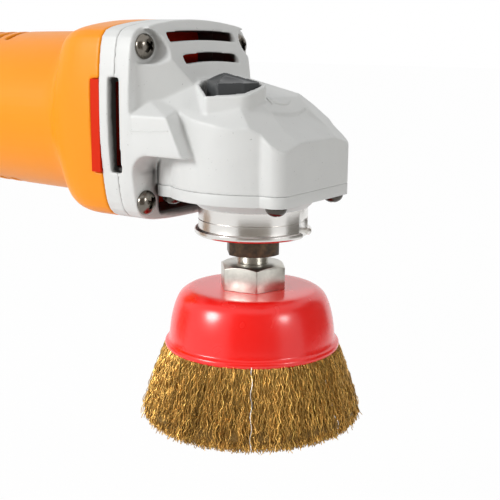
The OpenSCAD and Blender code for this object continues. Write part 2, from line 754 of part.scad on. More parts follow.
// Toothed ring on a pitch cone about Z with its apex at the origin, opening downwards
module bevel_teeth(teeth, cone, shift, steps, spiral, phase, depth) {
    half = half_tooth(teeth, cone, shift, steps);
    m = 2 * len(half);
    n = teeth * m;
    inner = (cone_len - face_w) / cone_len;
    levels = [[1, 1], [1, 0], [(1 + inner) / 2, 0], [inner, 0], [inner, 1]];
    points = [for (lv = levels) for (i = [0:n - 1]) let (
        t = floor(i / m),
        j = i % m,
        q = j < len(half) ? half[j] : half[m - 1 - j],
        a = phase + 360 * t / teeth + (j < len(half) ? -q[0] : q[0]) + spiral * (1 - lv[0]) / (1 - inner),
        up = lv[1] == 1 ? -depth : q[1],
        r = lv[0] * (cone_len * sin(cone) + up * cos(cone)),
        z = lv[0] * (-cone_len * cos(cone) + up * sin(cone))
    ) [r * cos(a), r * sin(a), z]];
    faces = [for (k = [0:4]) for (i = [0:n - 1]) let (j = (i + 1) % n, l = (k + 1) % 5)
        each [[k * n + j, k * n + i, l * n + i], [k * n + j, l * n + i, l * n + j]]];
    polyhedron(points, faces);
}

gear_depth = module_m * 2.6;

module crown_gear() color("slategray") on_motor() {
    inner = (cone_len - face_w) / cone_len;
    low = gear_depth - module_m * 0.5;
    out_r = cone_len * sin(gear_cone) - low * cos(gear_cone);
    out_z = -cone_len * cos(gear_cone) - low * sin(gear_cone);
    web_top = gear_web_top - motor_h;
    web_bottom = gear_web_bottom - motor_h;
    gap_phase = gear_teeth % 2 == 0 ? 180 / gear_teeth : 0;
    bevel_teeth(gear_teeth, gear_cone, -profile_shift, 3, gear_spiral, gap_phase, gear_depth);
    difference() {
        rotate_extrude() polygon([[spindle_gear_r + seat_fit, web_top + 0.25], [8.6, web_top + 0.25],
            [8.6, web_top], [inner * out_r - 0.6, web_top], [inner * out_r - 0.6, inner * out_z],
            [out_r, out_z - 0.01], [out_r - 0.4, web_bottom - 1.5], [10, web_bottom - 1.5],
            [10, web_bottom - hub_drop], [spindle_gear_r + seat_fit, web_bottom - hub_drop]]);
        for (a = [0:90:270]) rotate(a - 90) translate([lock_pin_y, 0, web_bottom - 10])
            cylinder(r = lock_pin_r + 0.35, h = 30);
    }
}

module gear_circlip() color("dimgray") seated() difference() {
    ring_z(spindle_gear_r + 1.7, spindle_gear_r - 0.45, gear_web_top + 0.32, gear_web_top + 1.18);
    translate([3, -2, gear_web_top]) cube([10, 4, 3]);
}

module brush_nut() color("silver") seated() translate([0, 0, nut_bottom]) difference() {
    intersection() {
        rotate(-49) cylinder(r = nut_af / 2 / cos(30), h = nut_t, $fn = 6);
        rotate_extrude() polygon([[0, 0], [nut_af / 2 + 1.6, 0], [nut_af / 2 + 1.6, nut_t - 1],
            [nut_af / 2 - 0.4, nut_t], [0, nut_t]]);
    }
    translate([0, 0, -1]) cylinder(r = thread_r + seat_fit, h = nut_t + 2);
}

// Profile of the pressed cup, drawn down from its flat top at z = 0
cup_profile = [[8, 0], [cup_r - 9.9, 0], [cup_r - 7.6, -0.7], [cup_r - 5.7, -2.2], [cup_r - 4.4, -4.4],
    [cup_r - 3.3, -7.5], [cup_r - 2.4, -11.5], [cup_r - 1.8, -15.5], [cup_r - 1.5, -cup_h + 3],
    [cup_r - 1.1, -cup_h + 2.4], [cup_r, -cup_h + 1.8], [cup_r, -cup_h + 0.6], [cup_r - 0.6, -cup_h]];

module brush_cup() color("red") seated() translate([0, 0, nut_bottom - 0.02]) rotate_extrude()
    polygon(concat(cup_profile, [for (i = [len(cup_profile) - 1:-1:0]) let (p = cup_profile[i])
        [p[0] - (i == 0 ? 0 : i > 8 ? p[0] - cup_r + 1.5 + cup_t : cup_t),
            i < 4 ? p[1] - cup_t : i < 9 ? p[1] - cup_t * 0.3 : p[1]]]));

// Furrow between two tufts: along the flared flank and across the tips
module tuft_furrow(depth) {
    flare = atan((wire_tip_r - cup_r) / (wire_len - 7.7));
    translate([wire_tip_r, 0, wire_bottom + 6]) rotate([0, -flare, 0])
        translate([furrow_r - depth, 0, -20]) cylinder(r = furrow_r, h = wire_len + 11.5);
    translate([wire_tip_r - 22, 0, wire_bottom - furrow_r + depth]) rotate([0, 90, 0])
        cylinder(r = furrow_r, h = 24);
}

furrow_r = 7;

module wire_bundle() color("goldenrod") seated() difference() {
    rotate_extrude() polygon([[9, nut_bottom - cup_t - 0.5], [cup_r - 12, nut_bottom - cup_t - 0.5],
        [cup_r - 7, nut_bottom - 7], [cup_r - 4.2, cup_bottom + 3], [cup_r - 3.6, cup_bottom - 0.5],
        [cup_r - 0.6, cup_bottom - 5], [wire_tip_r - 4.6, wire_bottom + 14], [wire_tip_r, wire_bottom + 6],
        [wire_tip_r - 0.6, wire_bottom + 3], [wire_tip_r - 4, wire_bottom], [wire_tip_r - 19, wire_bottom],
        [17, cup_bottom - 4], [13, nut_bottom - 9], [9, nut_bottom - 6]]);
    for (k = [0:tufts - 1]) rotate(360 * k / tufts + 3 * (k % 2))
        tuft_furrow(tuft_depth - 0.3 * (k % 3 - 1));
}

// ---------------------------------------------------------------- lock button

module lock_button() color("dimgray") seated() difference() {
    skirt = lock_pocket_floor + lock_travel + clear_gap;
    translate([0, 0, skirt]) linear_extrude(20) lock_outline(button_plan);
    above(lock_tip[0], lock_tip[1] + 2.3, button_tip_h, -0.10, 0.17);
    above(lock_tip[0], lock_tip[1] + 2.3, button_tip_h, 0.30, 0.34);
    above(-4, -13, button_crest_h, -0.2, 0);
    // Thumb dish
    translate([3, -17, button_tip_h + 13.9]) sphere(r = 13.6);
    // Blind socket for the pin and recess for the spring
    translate([0, -lock_pin_y, 0]) cylinder(r = lock_pin_r + seat_fit, h = pin_top_h);
    translate([0, -lock_pin_y, 0]) cylinder(r = lock_pin_r + 1.2, h = skirt + 1.6);
}

module lock_pin() color("silver") seated() translate([0, -lock_pin_y, pin_rest_h])
    cylinder(r = lock_pin_r, h = pin_top_h - pin_rest_h - 0.02);

// Wire spring round the pin, as a stack of touching coils
module lock_spring() color("silver") seated() translate([0, -lock_pin_y, lock_pocket_floor + 0.02])
    ring_z(lock_pin_r + 0.9, lock_pin_r + 0.2, 0, lock_travel + clear_gap + 1.5);

// ---------------------------------------------------------------- motor

module armature_shaft() color("silver") on_motor() {
    rod_x(shaft_r, rear_brg_x + rear_brg_w, front_brg_x - 0.5);
    rod_x(front_journal_r, front_brg_x - 0.5, front_brg_x + front_brg_w);
    rod_x(rear_journal_r, rear_brg_x - 0.5, rear_brg_x + rear_brg_w + 1);
    rod_x(pinion_seat_r, front_brg_x + front_brg_w, -8.8);
}

module armature_core() color("gray") on_motor() difference() {
    ring_x(armature_r, shaft_r + seat_fit, core_x, core_x + core_len);
    for (a = [0:30:330]) rotate([a, 0, 0]) translate([core_x - 1, 0, armature_r - 4.2]) {
        rod_x(2.6, 0, core_len + 2);
        translate([0, -0.9, 0]) cube([core_len + 2, 1.8, 8]);
    }
}

module armature_windings() color("sienna") on_motor() {
    for (side = [0, 1]) translate([core_x + side * core_len, 0, 0]) mirror([1 - side, 0, 0])
        rotate([0, 90, 0]) rotate_extrude() polygon([[shaft_r + 0.1, 0.05], [armature_r - 1.2, 0.05],
            [armature_r - 1.4, 3.5], [armature_r - 4, 7], [shaft_r + 3, 8], [shaft_r + 0.1, 6.5]]);
    for (a = [0:30:330]) rotate([a, 0, 0]) translate([core_x - 0.5, 0, armature_r - 4.2])
        rod_x(2.45, 0, core_len + 1);
}

module commutator() color("peru") on_motor() difference() {
    union() {
        ring_x(commutator_r, shaft_r + seat_fit, commutator_x, commutator_x + commutator_len - 3);
        ring_x(commutator_r + 1.6, shaft_r + seat_fit, commutator_x + commutator_len - 3,
            commutator_x + commutator_len);
    }
    for (i = [0:commutator_bars - 1]) rotate([i * 360 / commutator_bars, 0, 0])
        translate([commutator_x - 1, -0.25, commutator_r - 1]) cube([commutator_len + 2, 0.5, 5]);
}

module cooling_fan() color("black") on_motor() difference() {
    union() {
        rod_x(9, fan_x, fan_x + fan_depth);
        rod_x(fan_r, fan_x, fan_x + 1.8);
        intersection() {
            for (i = [0:fan_blades - 1]) rotate([i * 360 / fan_blades, 0, 0])
                translate([fan_x + 1, 3, 13]) cube([fan_depth - 1, 1.4, fan_r]);
            rod_x(fan_r, fan_x, fan_x + fan_depth);
        }
    }
    rod_x(shaft_r + seat_fit, fan_x - 1, fan_x + fan_depth + 1);
}

// Slots for the field windings lie at 40 degrees each side of the poles
module field_core() color("gray") on_motor() difference() {
    ring_x(field_r, armature_r + air_gap, core_x, core_x + core_len);
    for (a = [-48, 48, 132, 228]) rotate([a, 0, 0]) translate([core_x - 1, -4.5, armature_r + 1.6])
        cube([core_len + 2, 9, 5]);
    for (a = [0, 180]) rotate([a, 0, 0]) translate([0, 0, field_r - 2.6])
        rod_x(1.7, core_x - 1, core_x + core_len + 1);
}

module field_coils() color("sienna") on_motor() for (pole = [0, 180]) rotate([pole, 0, 0]) {
    for (a = [-48, 48]) rotate([a, 0, 0]) translate([core_x - 4, -4.3, armature_r + 1.8])
        cube([core_len + 8, 8.6, 4.6]);
    for (x = [core_x - 6.2, core_x + core_len + 0.2]) difference() {
        ring_x(armature_r + 4.4, armature_r + 1.8, x, x + 6);
        rotate([-62, 0, 0]) translate([x - 1, -60, -60]) cube([10, 60, 120]);
        rotate([62, 0, 0]) translate([x - 1, 0, -60]) cube([10, 60, 120]);
    }
}

module field_screws() color("dimgray") on_motor() for (a = [0, 180]) rotate([a, 0, 0])
    translate([0, 0, field_r - 2.6]) {
        rod_x(1.5, core_x - 4, core_x + core_len + 2);
        rod_x(2.4, core_x + core_len + 0.02, core_x + core_len + 2.6);
    }

holder_x = commutator_x + 2;
holder_len = 10;
holder_half_w = 4.2;
holder_wall = 1.1;
bore_r = barrel_tail_r - housing_wall - 0.4;

module brush_holders() color("goldenrod") on_motor() for (a = [0, 180]) rotate([a, 0, 0]) difference() {
    translate([holder_x, commutator_r + 1.4, -holder_half_w])
        cube([holder_len, bore_r - commutator_r - 2.6, 2 * holder_half_w]);
    translate([holder_x + holder_wall, commutator_r, holder_wall - holder_half_w])
        cube([holder_len - 2 * holder_wall, bore_r - commutator_r - 2.4, 2 * (holder_half_w - holder_wall)]);
}

module carbon_brushes() color("black") on_motor() for (a = [0, 180]) rotate([a, 0, 0]) difference() {
    translate([holder_x + holder_wall + 0.2, commutator_r - 2, holder_wall + 0.2 - holder_half_w])
        cube([holder_len - 2 * (holder_wall + 0.2), 10, 2 * (holder_half_w - holder_wall - 0.2)]);
    rod_x(commutator_r + 0.3, holder_x - 5, holder_x + holder_len + 5);
}

module brush_springs() color("silver") on_motor() for (a = [0, 180]) rotate([a, 0, 0])
    translate([holder_x + holder_len / 2, commutator_r + 8.05, 0]) rotate([-90, 0, 0])
        ring_z(2.6, 1.9, 0, bore_r - commutator_r - 10.6);

module front_bearing_outer() color("silver") on_motor() translate([front_brg_x, 0, 0]) rotate([0, 90, 0])
    bearing_outer(front_journal_r + seat_fit, front_brg_ro, front_brg_w - 0.02);

module front_bearing_inner() color("silver") on_motor() translate([front_brg_x, 0, 0]) rotate([0, 90, 0])
    bearing_inner(front_journal_r + seat_fit, front_brg_ro, front_brg_w - 0.02);

module rear_bearing_outer() color("silver") on_motor() translate([rear_brg_x, 0, 0]) rotate([0, 90, 0])
    bearing_outer(rear_journal_r + seat_fit, rear_brg_ro, rear_brg_w - 0.02);

module rear_bearing_inner() color("silver") on_motor() translate([rear_brg_x, 0, 0]) rotate([0, 90, 0])
    bearing_inner(rear_journal_r + seat_fit, rear_brg_ro, rear_brg_w - 0.02);

module bearing_boot() color("black") on_motor() difference() {
    rod_x(rear_brg_ro + boot_t, rear_brg_x - 1.6, rear_brg_x + rear_brg_w - 0.1);
    rod_x(rear_brg_ro + seat_fit, rear_brg_x - 0.02, rear_brg_x + rear_brg_w + 1);
    rod_x(rear_journal_r + 2, rear_brg_x - 3, rear_brg_x + 1);
}

// Pinion on the motor shaft, its teeth in mesh with the crown gear
module pinion() color("slategray") on_motor() {
    depth = module_m * 1.6;
    inner = (cone_len - face_w) / cone_len;
    low = depth - module_m * 0.35;
    out_r = cone_len * sin(pinion_cone) - low * cos(pinion_cone);
    out_x = -cone_len * cos(pinion_cone) - low * sin(pinion_cone);
    back_x = front_brg_x + front_brg_w + 0.02;
    difference() {
        union() {
            rotate([0, 90, 0]) bevel_teeth(pinion_teeth, pinion_cone, profile_shift, 4,
                -gear_spiral * shaft_ratio, 0, depth);
            rotate([0, 90, 0]) rotate_extrude() polygon([[0, inner * out_x + 0.3],
                [inner * out_r, inner * out_x + 0.3], [out_r, out_x], [out_r, out_x - 1.6],
                [5.4, out_x - 1.6], [5.4, back_x], [0, back_x]]);
        }
        rod_x(pinion_seat_r + seat_fit, back_x - 5, 0);
    }
}

module pinion_nut() color("dimgray") on_motor() difference() {
    translate([-12.6, 0, 0]) rotate([0, 90, 0]) cylinder(r = 4.4, h = 3.2, $fn = 6);
    rod_x(pinion_seat_r + seat_fit, -20, 0);
}

// ---------------------------------------------------------------- rear covers and switch

tail_steps = [0, 0.12, 0.3, 0.55, 0.8, 0.93, 0.98, 1];
tail_round = [0, 0, 0, 0, 0.02, 0.06, 0.12, 0.2];

function tail_ring(k, inset) = let (
    s = tail_steps[k],
    w = (1 - s) * barrel_tail_r + s * tail_half_w,
    v = (1 - s) * barrel_tail_r + s * tail_half_h,
    p = 2 + 1.6 * min(1, 3 * s)
) [for (i = [0:47]) [0, motor_h] + oval_point(7.5 * i, (w - inset) * (1 - tail_round[k]),
    (v - inset) * (1 - tail_round[k]), p)];

module tail_skin(inset, x0, x1) skin([for (k = [7:-1:0]) x1 + (x0 - x1) * tail_steps[k]],
    [for (k = [7:-1:0]) tail_ring(k, inset)]);

inlet_r = cord_bore_r + 4.2;
intake_slots = 4;
intake_pitch = 5.5;
screw_posts = [[tail_x - 15, 18.5], [tail_x - 15, -18.5], [end_x + 20, 13.5], [end_x + 20, -13.5]];

// One half of the tail shell; side is 1 for the left (+Y) half and -1 for the right
module tail_half(side) difference() {
    union() {
        difference() {
            tail_skin(0, end_x, tail_x);
            tail_skin(tail_wall, end_x + tail_wall, tail_x - spigot_len - 0.2);
            translate([0, 0, motor_h]) rod_x(spigot_r + 0.25, tail_x - spigot_len - 0.5, tail_x + 1);
        }
        intersection() {
            for (p = screw_posts) translate([p[0], 0, motor_h + p[1]])
                rod_y(3.4, side > 0 ? 0 : -30, side > 0 ? 30 : 0);
            tail_skin(0.5, end_x, tail_x);
        }
        // Seat for the cord inlet bush
        intersection() {
            translate([0, 0, motor_h]) rod_x(inlet_r + 2, end_x + 0.5, end_x + 13);
            tail_skin(0.5, end_x, tail_x);
        }
    }
    translate([tail_x - 200, side > 0 ? -100 + 0.02 : -0.02, -100]) cube([300, 100, 300]);
    // Bush seat: a waist with wider ends
    translate([0, 0, motor_h]) {
        rod_x(inlet_r - 1.6 + seat_fit, end_x - 1, end_x + 20);
        rod_x(inlet_r + seat_fit, end_x + 6, end_x + 9);
    }
    // Screw holes: clearance and counterbore on the right, thread on the left
    for (p = screw_posts) translate([p[0], 0, motor_h + p[1]]) {
        rod_y(side > 0 ? tail_tap_r : tail_clear_r, -40, side > 0 ? 14 : 1);
        if (side < 0) rod_y(3.0, -40, -12);
    }
    // Rear air slots
    for (k = [0:intake_slots - 1]) translate([tail_x - 22 - intake_pitch * k, side > 0 ? 0 : -60,
        motor_h - 16.5]) cube([3, 60, 9]);
    if (side > 0) translate([slider_x - slider_half, 0, slider_h - 4.6])
        cube([2 * slider_half + switch_travel, 60, 9.2]);
}

module rear_cover_left() color("orange") seated() tail_half(1);
module rear_cover_right() color("orange") seated() tail_half(-1);

module rear_cover_screws() color("dimgray") seated() for (p = screw_posts)
    translate([p[0], -12 - 0.02, motor_h + p[1]]) rotate([0, 0, -90])
        pan_screw(tail_head_r, 2, tail_shank_r, 22);

slider_y = barrel_tail_r - 1.2;
switch_half_h = 11;
tongue_y = 4;
tongue_half_h = 1.9;

module switch_body() color("black") seated() difference() {
    translate([switch_x, -7, motor_h - switch_half_h]) cube([24, 14, 2 * switch_half_h]);
    // Slot in which the link's tongue slides
    translate([switch_x + 13, tongue_y - 1, motor_h - tongue_half_h - clear_gap])
        cube([20, 5, 2 * (tongue_half_h + clear_gap)]);
}

// Thumb slider: ribbed cap outside, foot inside the cover
module switch_slider() color("dimgray") seated() translate([slider_x, 0, slider_h]) difference() {
    union() {
        translate([-9, slider_y - 6, -4]) cube([18, 8.4, 8]);
        translate([-11, slider_y - 7.5, -6.5]) cube([22, 2.6, 13]);
    }
    for (k = [-3:3]) translate([k * 2.4, slider_y + 2.9, 0]) rotate([0, 0, 45])
        cube([1, 1, 20], center = true);
}

module switch_link() color("silver") seated() translate([0, 0, motor_h]) {
    translate([switch_x + 14.5, tongue_y, -tongue_half_h])
        cube([slider_x - switch_x - 14.5, 1.6, 2 * tongue_half_h]);
    translate([slider_x - 3, tongue_y, -tongue_half_h])
        cube([3, slider_y - 7.52 - tongue_y, 2 * tongue_half_h]);
}

// Bush in the tail's end that the cord leaves through
module cord_inlet() color("black") seated() translate([0, 0, motor_h]) difference() {
    union() {
        rod_x(inlet_r - 1.6, end_x - 1.5, end_x + 12);
        rod_x(inlet_r, end_x + 6.1, end_x + 8.9);
        rod_x(inlet_r - 0.4, end_x - 1.5, end_x - 0.05);
    }
    rod_x(cord_bore_r, end_x - 3, end_x + 14);
}

clamp_x = end_x + 13.3;

module cord_clamp() color("black") seated() translate([clamp_x, 0, motor_h]) difference() {
    translate([0, -6.5, -10]) cube([5, 4, 20]);
    rod_x(cord_bore_r, -1, 6);
    for (s = [-1, 1]) translate([2.5, 0, s * 7.6]) rod_y(1.3, -8, 0);
}

module clamp_screws() color("dimgray") seated() for (s = [-1, 1])
    translate([clamp_x + 2.5, -2.48, motor_h + s * 7.6]) rotate([0, 0, 90])
        pan_screw(clamp_head_r, 1.4, clamp_shank_r, 8);

// ---------------------------------------------------------------- nodes

motor_housing();
fan_baffle();
bearing_plate();
gear_case();
case_screws();
gear_cover();
cover_screws();
spindle_bearing_outer();
bearing_circlip();
dust_felt();
spindle_bush();
front_bearing_outer();
rear_bearing_outer();
bearing_boot();
field_core();
field_coils();
field_screws();
brush_holders();
carbon_brushes();
brush_springs();
rear_cover_left();
rear_cover_right();
rear_cover_screws();
switch_body();
switch_slider();
switch_link();
cord_inlet();
cord_clamp();
clamp_screws();
lock_button();
lock_pin();
lock_spring();
spindle();
crown_gear();
gear_circlip();
spindle_bearing_inner();
brush_nut();
brush_cup();
wire_bundle();
armature_shaft();
armature_core();
armature_windings();
commutator();
cooling_fan();
pinion();
pinion_nut();
front_bearing_inner();
rear_bearing_inner();
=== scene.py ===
"""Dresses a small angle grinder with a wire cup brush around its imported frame.

Each piece, or group of like pieces, is one operator, and main() runs them in order.
"""

import json
import math

import bmesh
import bpy
import numpy as np
from mathutils import Matrix, Vector
from mathutils.bvhtree import BVHTree


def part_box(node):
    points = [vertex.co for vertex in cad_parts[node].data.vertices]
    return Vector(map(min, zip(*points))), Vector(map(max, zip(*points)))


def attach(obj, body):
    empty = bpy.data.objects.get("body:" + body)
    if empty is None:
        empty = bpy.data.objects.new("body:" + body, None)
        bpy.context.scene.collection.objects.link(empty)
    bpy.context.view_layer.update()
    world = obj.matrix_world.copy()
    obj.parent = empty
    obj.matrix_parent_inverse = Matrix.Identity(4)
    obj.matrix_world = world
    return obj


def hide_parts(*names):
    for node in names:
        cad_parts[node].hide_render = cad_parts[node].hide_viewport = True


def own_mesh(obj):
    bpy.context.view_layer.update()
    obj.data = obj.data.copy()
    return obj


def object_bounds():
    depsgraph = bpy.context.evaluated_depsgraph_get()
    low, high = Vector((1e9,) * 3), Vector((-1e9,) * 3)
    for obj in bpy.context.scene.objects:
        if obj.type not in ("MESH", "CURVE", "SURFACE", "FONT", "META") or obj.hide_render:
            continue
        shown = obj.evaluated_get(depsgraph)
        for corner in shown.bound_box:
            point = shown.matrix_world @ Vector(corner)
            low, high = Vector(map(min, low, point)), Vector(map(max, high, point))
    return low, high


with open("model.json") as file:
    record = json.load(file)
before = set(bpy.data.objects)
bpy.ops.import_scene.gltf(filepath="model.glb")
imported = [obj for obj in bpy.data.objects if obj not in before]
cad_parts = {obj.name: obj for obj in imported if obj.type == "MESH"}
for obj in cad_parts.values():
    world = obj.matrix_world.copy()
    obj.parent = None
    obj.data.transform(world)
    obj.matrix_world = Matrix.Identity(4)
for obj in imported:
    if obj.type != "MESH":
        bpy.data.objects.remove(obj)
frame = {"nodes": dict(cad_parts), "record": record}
CAD_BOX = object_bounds()

bl_info = {
    "name": "Angle Grinder",
    "version": (1, 0, 0),
    "blender": (4, 5, 0),
    "location": "View3D > Sidebar > Grinder",
    "description": "Dresses a small angle grinder with a wire cup brush around its packed frame",
    "category": "Object",
}

MM = 0.001
NODES = frame["nodes"]
BODY_OF = {n: body for body, names in frame["record"]["behaviour"]["bodies"].items() for n in names}


# ---------------------------------------------------------------- settings


class GrinderBrush(bpy.types.PropertyGroup):
    """Sizes of the wire brush."""

    wires: bpy.props.IntProperty(
        name="Wires", description="Wires in one ring of the brush", default=1540, min=100, max=1560)
    thickness: bpy.props.FloatProperty(
        name="Wire thickness", description="Diameter of a wire", default=0.30 * MM,
        min=0.1 * MM, max=1 * MM, unit="LENGTH", precision=5)
    crimp: bpy.props.FloatProperty(
        name="Crimp", description="How far a crimp swings to each side", default=0.52 * MM,
        min=0, max=2 * MM, unit="LENGTH", precision=5)
    seed: bpy.props.IntProperty(name="Seed", description="Seed of the wires' places", default=7, min=0)


class GrinderCasting(bpy.types.PropertyGroup):
    """How the castings and mouldings are rounded."""

    grain: bpy.props.FloatProperty(
        name="Casting grain", description="Mesh size that the castings' edges are rounded at",
        default=0.5 * MM, min=0.3 * MM, max=2 * MM, unit="LENGTH", precision=5)
    moulding_grain: bpy.props.FloatProperty(
        name="Moulding grain", description="Mesh size that the mouldings' edges are rounded at",
        default=0.62 * MM, min=0.4 * MM, max=3 * MM, unit="LENGTH", precision=5)
    rounding: bpy.props.IntProperty(
        name="Rounding", description="Smoothing passes on the castings", default=7, min=0, max=40)


class GrinderColours(bpy.types.PropertyGroup):
    """Colours of the finishes."""

    housing: bpy.props.FloatVectorProperty(
        name="Housing", description="Colour of the moulded housing", subtype="COLOR",
        default=(0.93, 0.300, 0.004), min=0, max=1)
    paint: bpy.props.FloatVectorProperty(
        name="Casting paint", description="Colour of the painted castings", subtype="COLOR",
        default=(0.70, 0.71, 0.70), min=0, max=1)
    enamel: bpy.props.FloatVectorProperty(
        name="Cup enamel", description="Colour of the pressed cup", subtype="COLOR",
        default=(0.99, 0.006, 0.003), min=0, max=1)
    baffle: bpy.props.FloatVectorProperty(
        name="Fan baffle", description="Colour of the air baffle", subtype="COLOR",
        default=(0.66, 0.022, 0.002), min=0, max=1)
    button: bpy.props.FloatVectorProperty(
        name="Buttons", description="Colour of the lock button and the switch", subtype="COLOR",
        default=(0.055, 0.058, 0.06), min=0, max=1)
    wire: bpy.props.FloatVectorProperty(
        name="Wire", description="Colour of the brass-coated wires", subtype="COLOR",
        default=(0.66, 0.385, 0.105), min=0, max=1)


class GrinderStage(bpy.types.PropertyGroup):
    """Camera and light."""

    azimuth: bpy.props.FloatProperty(
        name="Azimuth", description="Camera's turn about the spindle", subtype="ANGLE",
        default=math.radians(33.963))
    distance: bpy.props.FloatProperty(
        name="Distance", description="Camera's distance from the spindle", default=0.36308, unit="LENGTH")
    height: bpy.props.FloatProperty(
        name="Height", description="Camera's height above the origin", default=0.06552, unit="LENGTH")
    lens: bpy.props.FloatProperty(
        name="Lens", description="Focal length in millimetres", default=73.38, min=20, max=200)
    sky: bpy.props.FloatProperty(
        name="Sky", description="Level of the soft light from all round", default=0.57, min=0, max=2)
    key: bpy.props.FloatProperty(
        name="Key", description="Power of the main softbox", default=4.2, min=0, max=60, unit="POWER")
    fill: bpy.props.FloatProperty(
        name="Fill", description="Power of the second softbox", default=1.3, min=0, max=60, unit="POWER")


# ---------------------------------------------------------------- node trees


class Wired:
    """A node's output, for use in Python expressions: each operator adds its Math node."""

    def __init__(self, tree, socket):
        self.tree, self.socket = tree, socket

    def math(self, operation, *values):
        """A Math node of that operation on these values or outputs."""
        return self.tree.node("ShaderNodeMath", {"operation": operation}, dict(enumerate(values)))

    def __add__(self, other):
        return self.math("ADD", self, other)

    def __sub__(self, other):
        return self.math("SUBTRACT", self, other)

    def __rsub__(self, other):
        return self.math("SUBTRACT", other, self)

    def __mul__(self, other):
        return self.math("MULTIPLY", self, other)

    def __truediv__(self, other):
        return self.math("DIVIDE", self, other)

    def __pow__(self, other):
        return self.math("POWER", self, other)

    __radd__, __rmul__ = __add__, __mul__

    def over(self, low, high):
        """0 below low and 1 above high, with a straight rise between them."""
        sockets = {"Value": self, "From Min": low, "From Max": high}
        return self.tree.node("ShaderNodeMapRange", {"clamp": True}, sockets)


class Tree:
    """Adds nodes to one tree and links them."""

    def __init__(self, tree):
        self.tree = tree

    def feed(self, socket, value):
        """Links an output to the socket, or sets a constant on it."""
        if isinstance(value, Wired):
            self.tree.links.new(value.socket, socket)
        else:
            socket.default_value = value

    def node(self, kind, settings=None, sockets=None, output=0):
        """A new node: its settings are set first, then its sockets get values or links."""
        made = self.tree.nodes.new(kind)
        for name, value in (settings or {}).items():
            setattr(made, name, value)
        for name, value in (sockets or {}).items():
            self.feed(made.inputs[name], value)
        return Wired(self, made.outputs[output] if made.outputs else None)


class Finish(Tree):
    """A material: one Principled shader and the patterns that feed it."""

    def __init__(self, name, colour, roughness=0.5, metallic=0.0):
        self.material = bpy.data.materials.new(name)
        self.material.use_nodes = True
        super().__init__(self.material.node_tree)
        self.tree.nodes.clear()
        shader = self.node("ShaderNodeBsdfPrincipled")
        self.shader = shader.socket.node
        self.node("ShaderNodeOutputMaterial", sockets={"Surface": shader})
        self.place = self.node("ShaderNodeTexCoord", output="Object")
        self.split = self.node("ShaderNodeSeparateXYZ", sockets={"Vector": self.place}).socket.node
        self.colour = (*colour, 1)
        self.set({"Base Color": self.colour, "Roughness": roughness, "Metallic": metallic})

    def set(self, sockets):
        """Feeds the shader's inputs."""
        for name, value in sockets.items():
            self.feed(self.shader.inputs[name], value)

    def axis(self, name):
        """X, Y or Z of the place on the object, in metres."""
        return Wired(self, self.split.outputs[name])

    def noise(self, size, detail=2.0, roughness=0.5, place=None, seed=0.0):
        """Soft noise, 0 to 1, whose patches are about that size in metres."""
        sockets = {"Vector": place or self.place, "W": seed, "Scale": 1 / size,
                   "Detail": detail, "Roughness": roughness}
        return self.node("ShaderNodeTexNoise", {"noise_dimensions": "4D"}, sockets)

    def mix(self, factor, first, second):
        """Blends two colours; 6 and 7 are the node's colour inputs, and 2 its colour output."""
        sockets = {0: factor, 6: first, 7: second}
        return self.node("ShaderNodeMix", {"data_type": "RGBA"}, sockets, output=2)

    def scaled(self, colour, level):
        """A colour made darker or lighter by a level around 1."""
        return self.node("ShaderNodeVectorMath", {"operation": "SCALE"}, {0: colour, "Scale": level})

    def shade(self, level):
        """The finish's own colour, darker or lighter by a level around 1."""
        return self.scaled(self.colour[:3], level)

    def stored(self, name):
        """A number that the piece's mesh stores under that name."""
        return self.node("ShaderNodeAttribute", {"attribute_name": name}, output="Fac")

    def lathe_rings(self, size):
        """Noise in fine rings about Z, as a turning tool leaves."""
        height = self.node("ShaderNodeCombineXYZ", sockets={"Z": self.axis("Z")})
        return self.noise(size, 3, 0.7, place=height)

    def bump(self, height, depth):
        """Feeds the normal with a height from 0 to 1 that is depth metres tall."""
        sockets = {"Height": height, "Strength": 1.0, "Distance": depth}
        self.set({"Normal": self.node("ShaderNodeBump", sockets=sockets)})


# ---------------------------------------------------------------- finishes

# Dark grey of the painted shade in the castings' hollows and insides
HOLLOW_SHADE = (0.075, 0.070, 0.066, 1)
WORN_WIRE = (0.62, 0.60, 0.56, 1)


def cast_paint(name, colour):
    """Satin silver-grey paint over a die casting, with a faint orange peel and small specks.

    Where a piece's shelter is high, in its hollows and inside it, the colour is darkened to a painted
    shade.
    """
    f = Finish(name, colour)
    patches = f.noise(9 * MM, 3)
    specks = f.noise(0.9 * MM, 2, 0.6, seed=4.0).over(0.69, 0.75)
    peel = f.noise(0.7 * MM, 3, 0.55)
    # Painted shade: where the shelter is high, the paint darkens to a dark grey
    bare = f.stored("shelter").over(0.55, 0.82)
    painted = f.shade(0.95 + 0.08 * patches - 0.34 * specks)
    f.set({"Base Color": f.mix(bare, painted, HOLLOW_SHADE),
           "Roughness": 0.36 + 0.14 * f.noise(2.5 * MM, 2)})
    f.bump(peel + 0.6 * f.noise(3.2 * MM, 1, seed=2.0), 0.035 * MM)
    return f.material


def turned_metal(name, colour, roughness=0.2):
    """Bright metal off the lathe: fine rings about Z."""
    f = Finish(name, colour, metallic=1.0)
    rings = f.lathe_rings(0.22 * MM)
    smears = f.noise(4 * MM, 2, seed=3.0)
    f.set({"Base Color": f.shade(0.9 + 0.14 * rings),
           "Roughness": roughness * (0.75 + 0.7 * rings) + 0.08 * smears})
    f.bump(rings, 0.012 * MM)
    return f.material


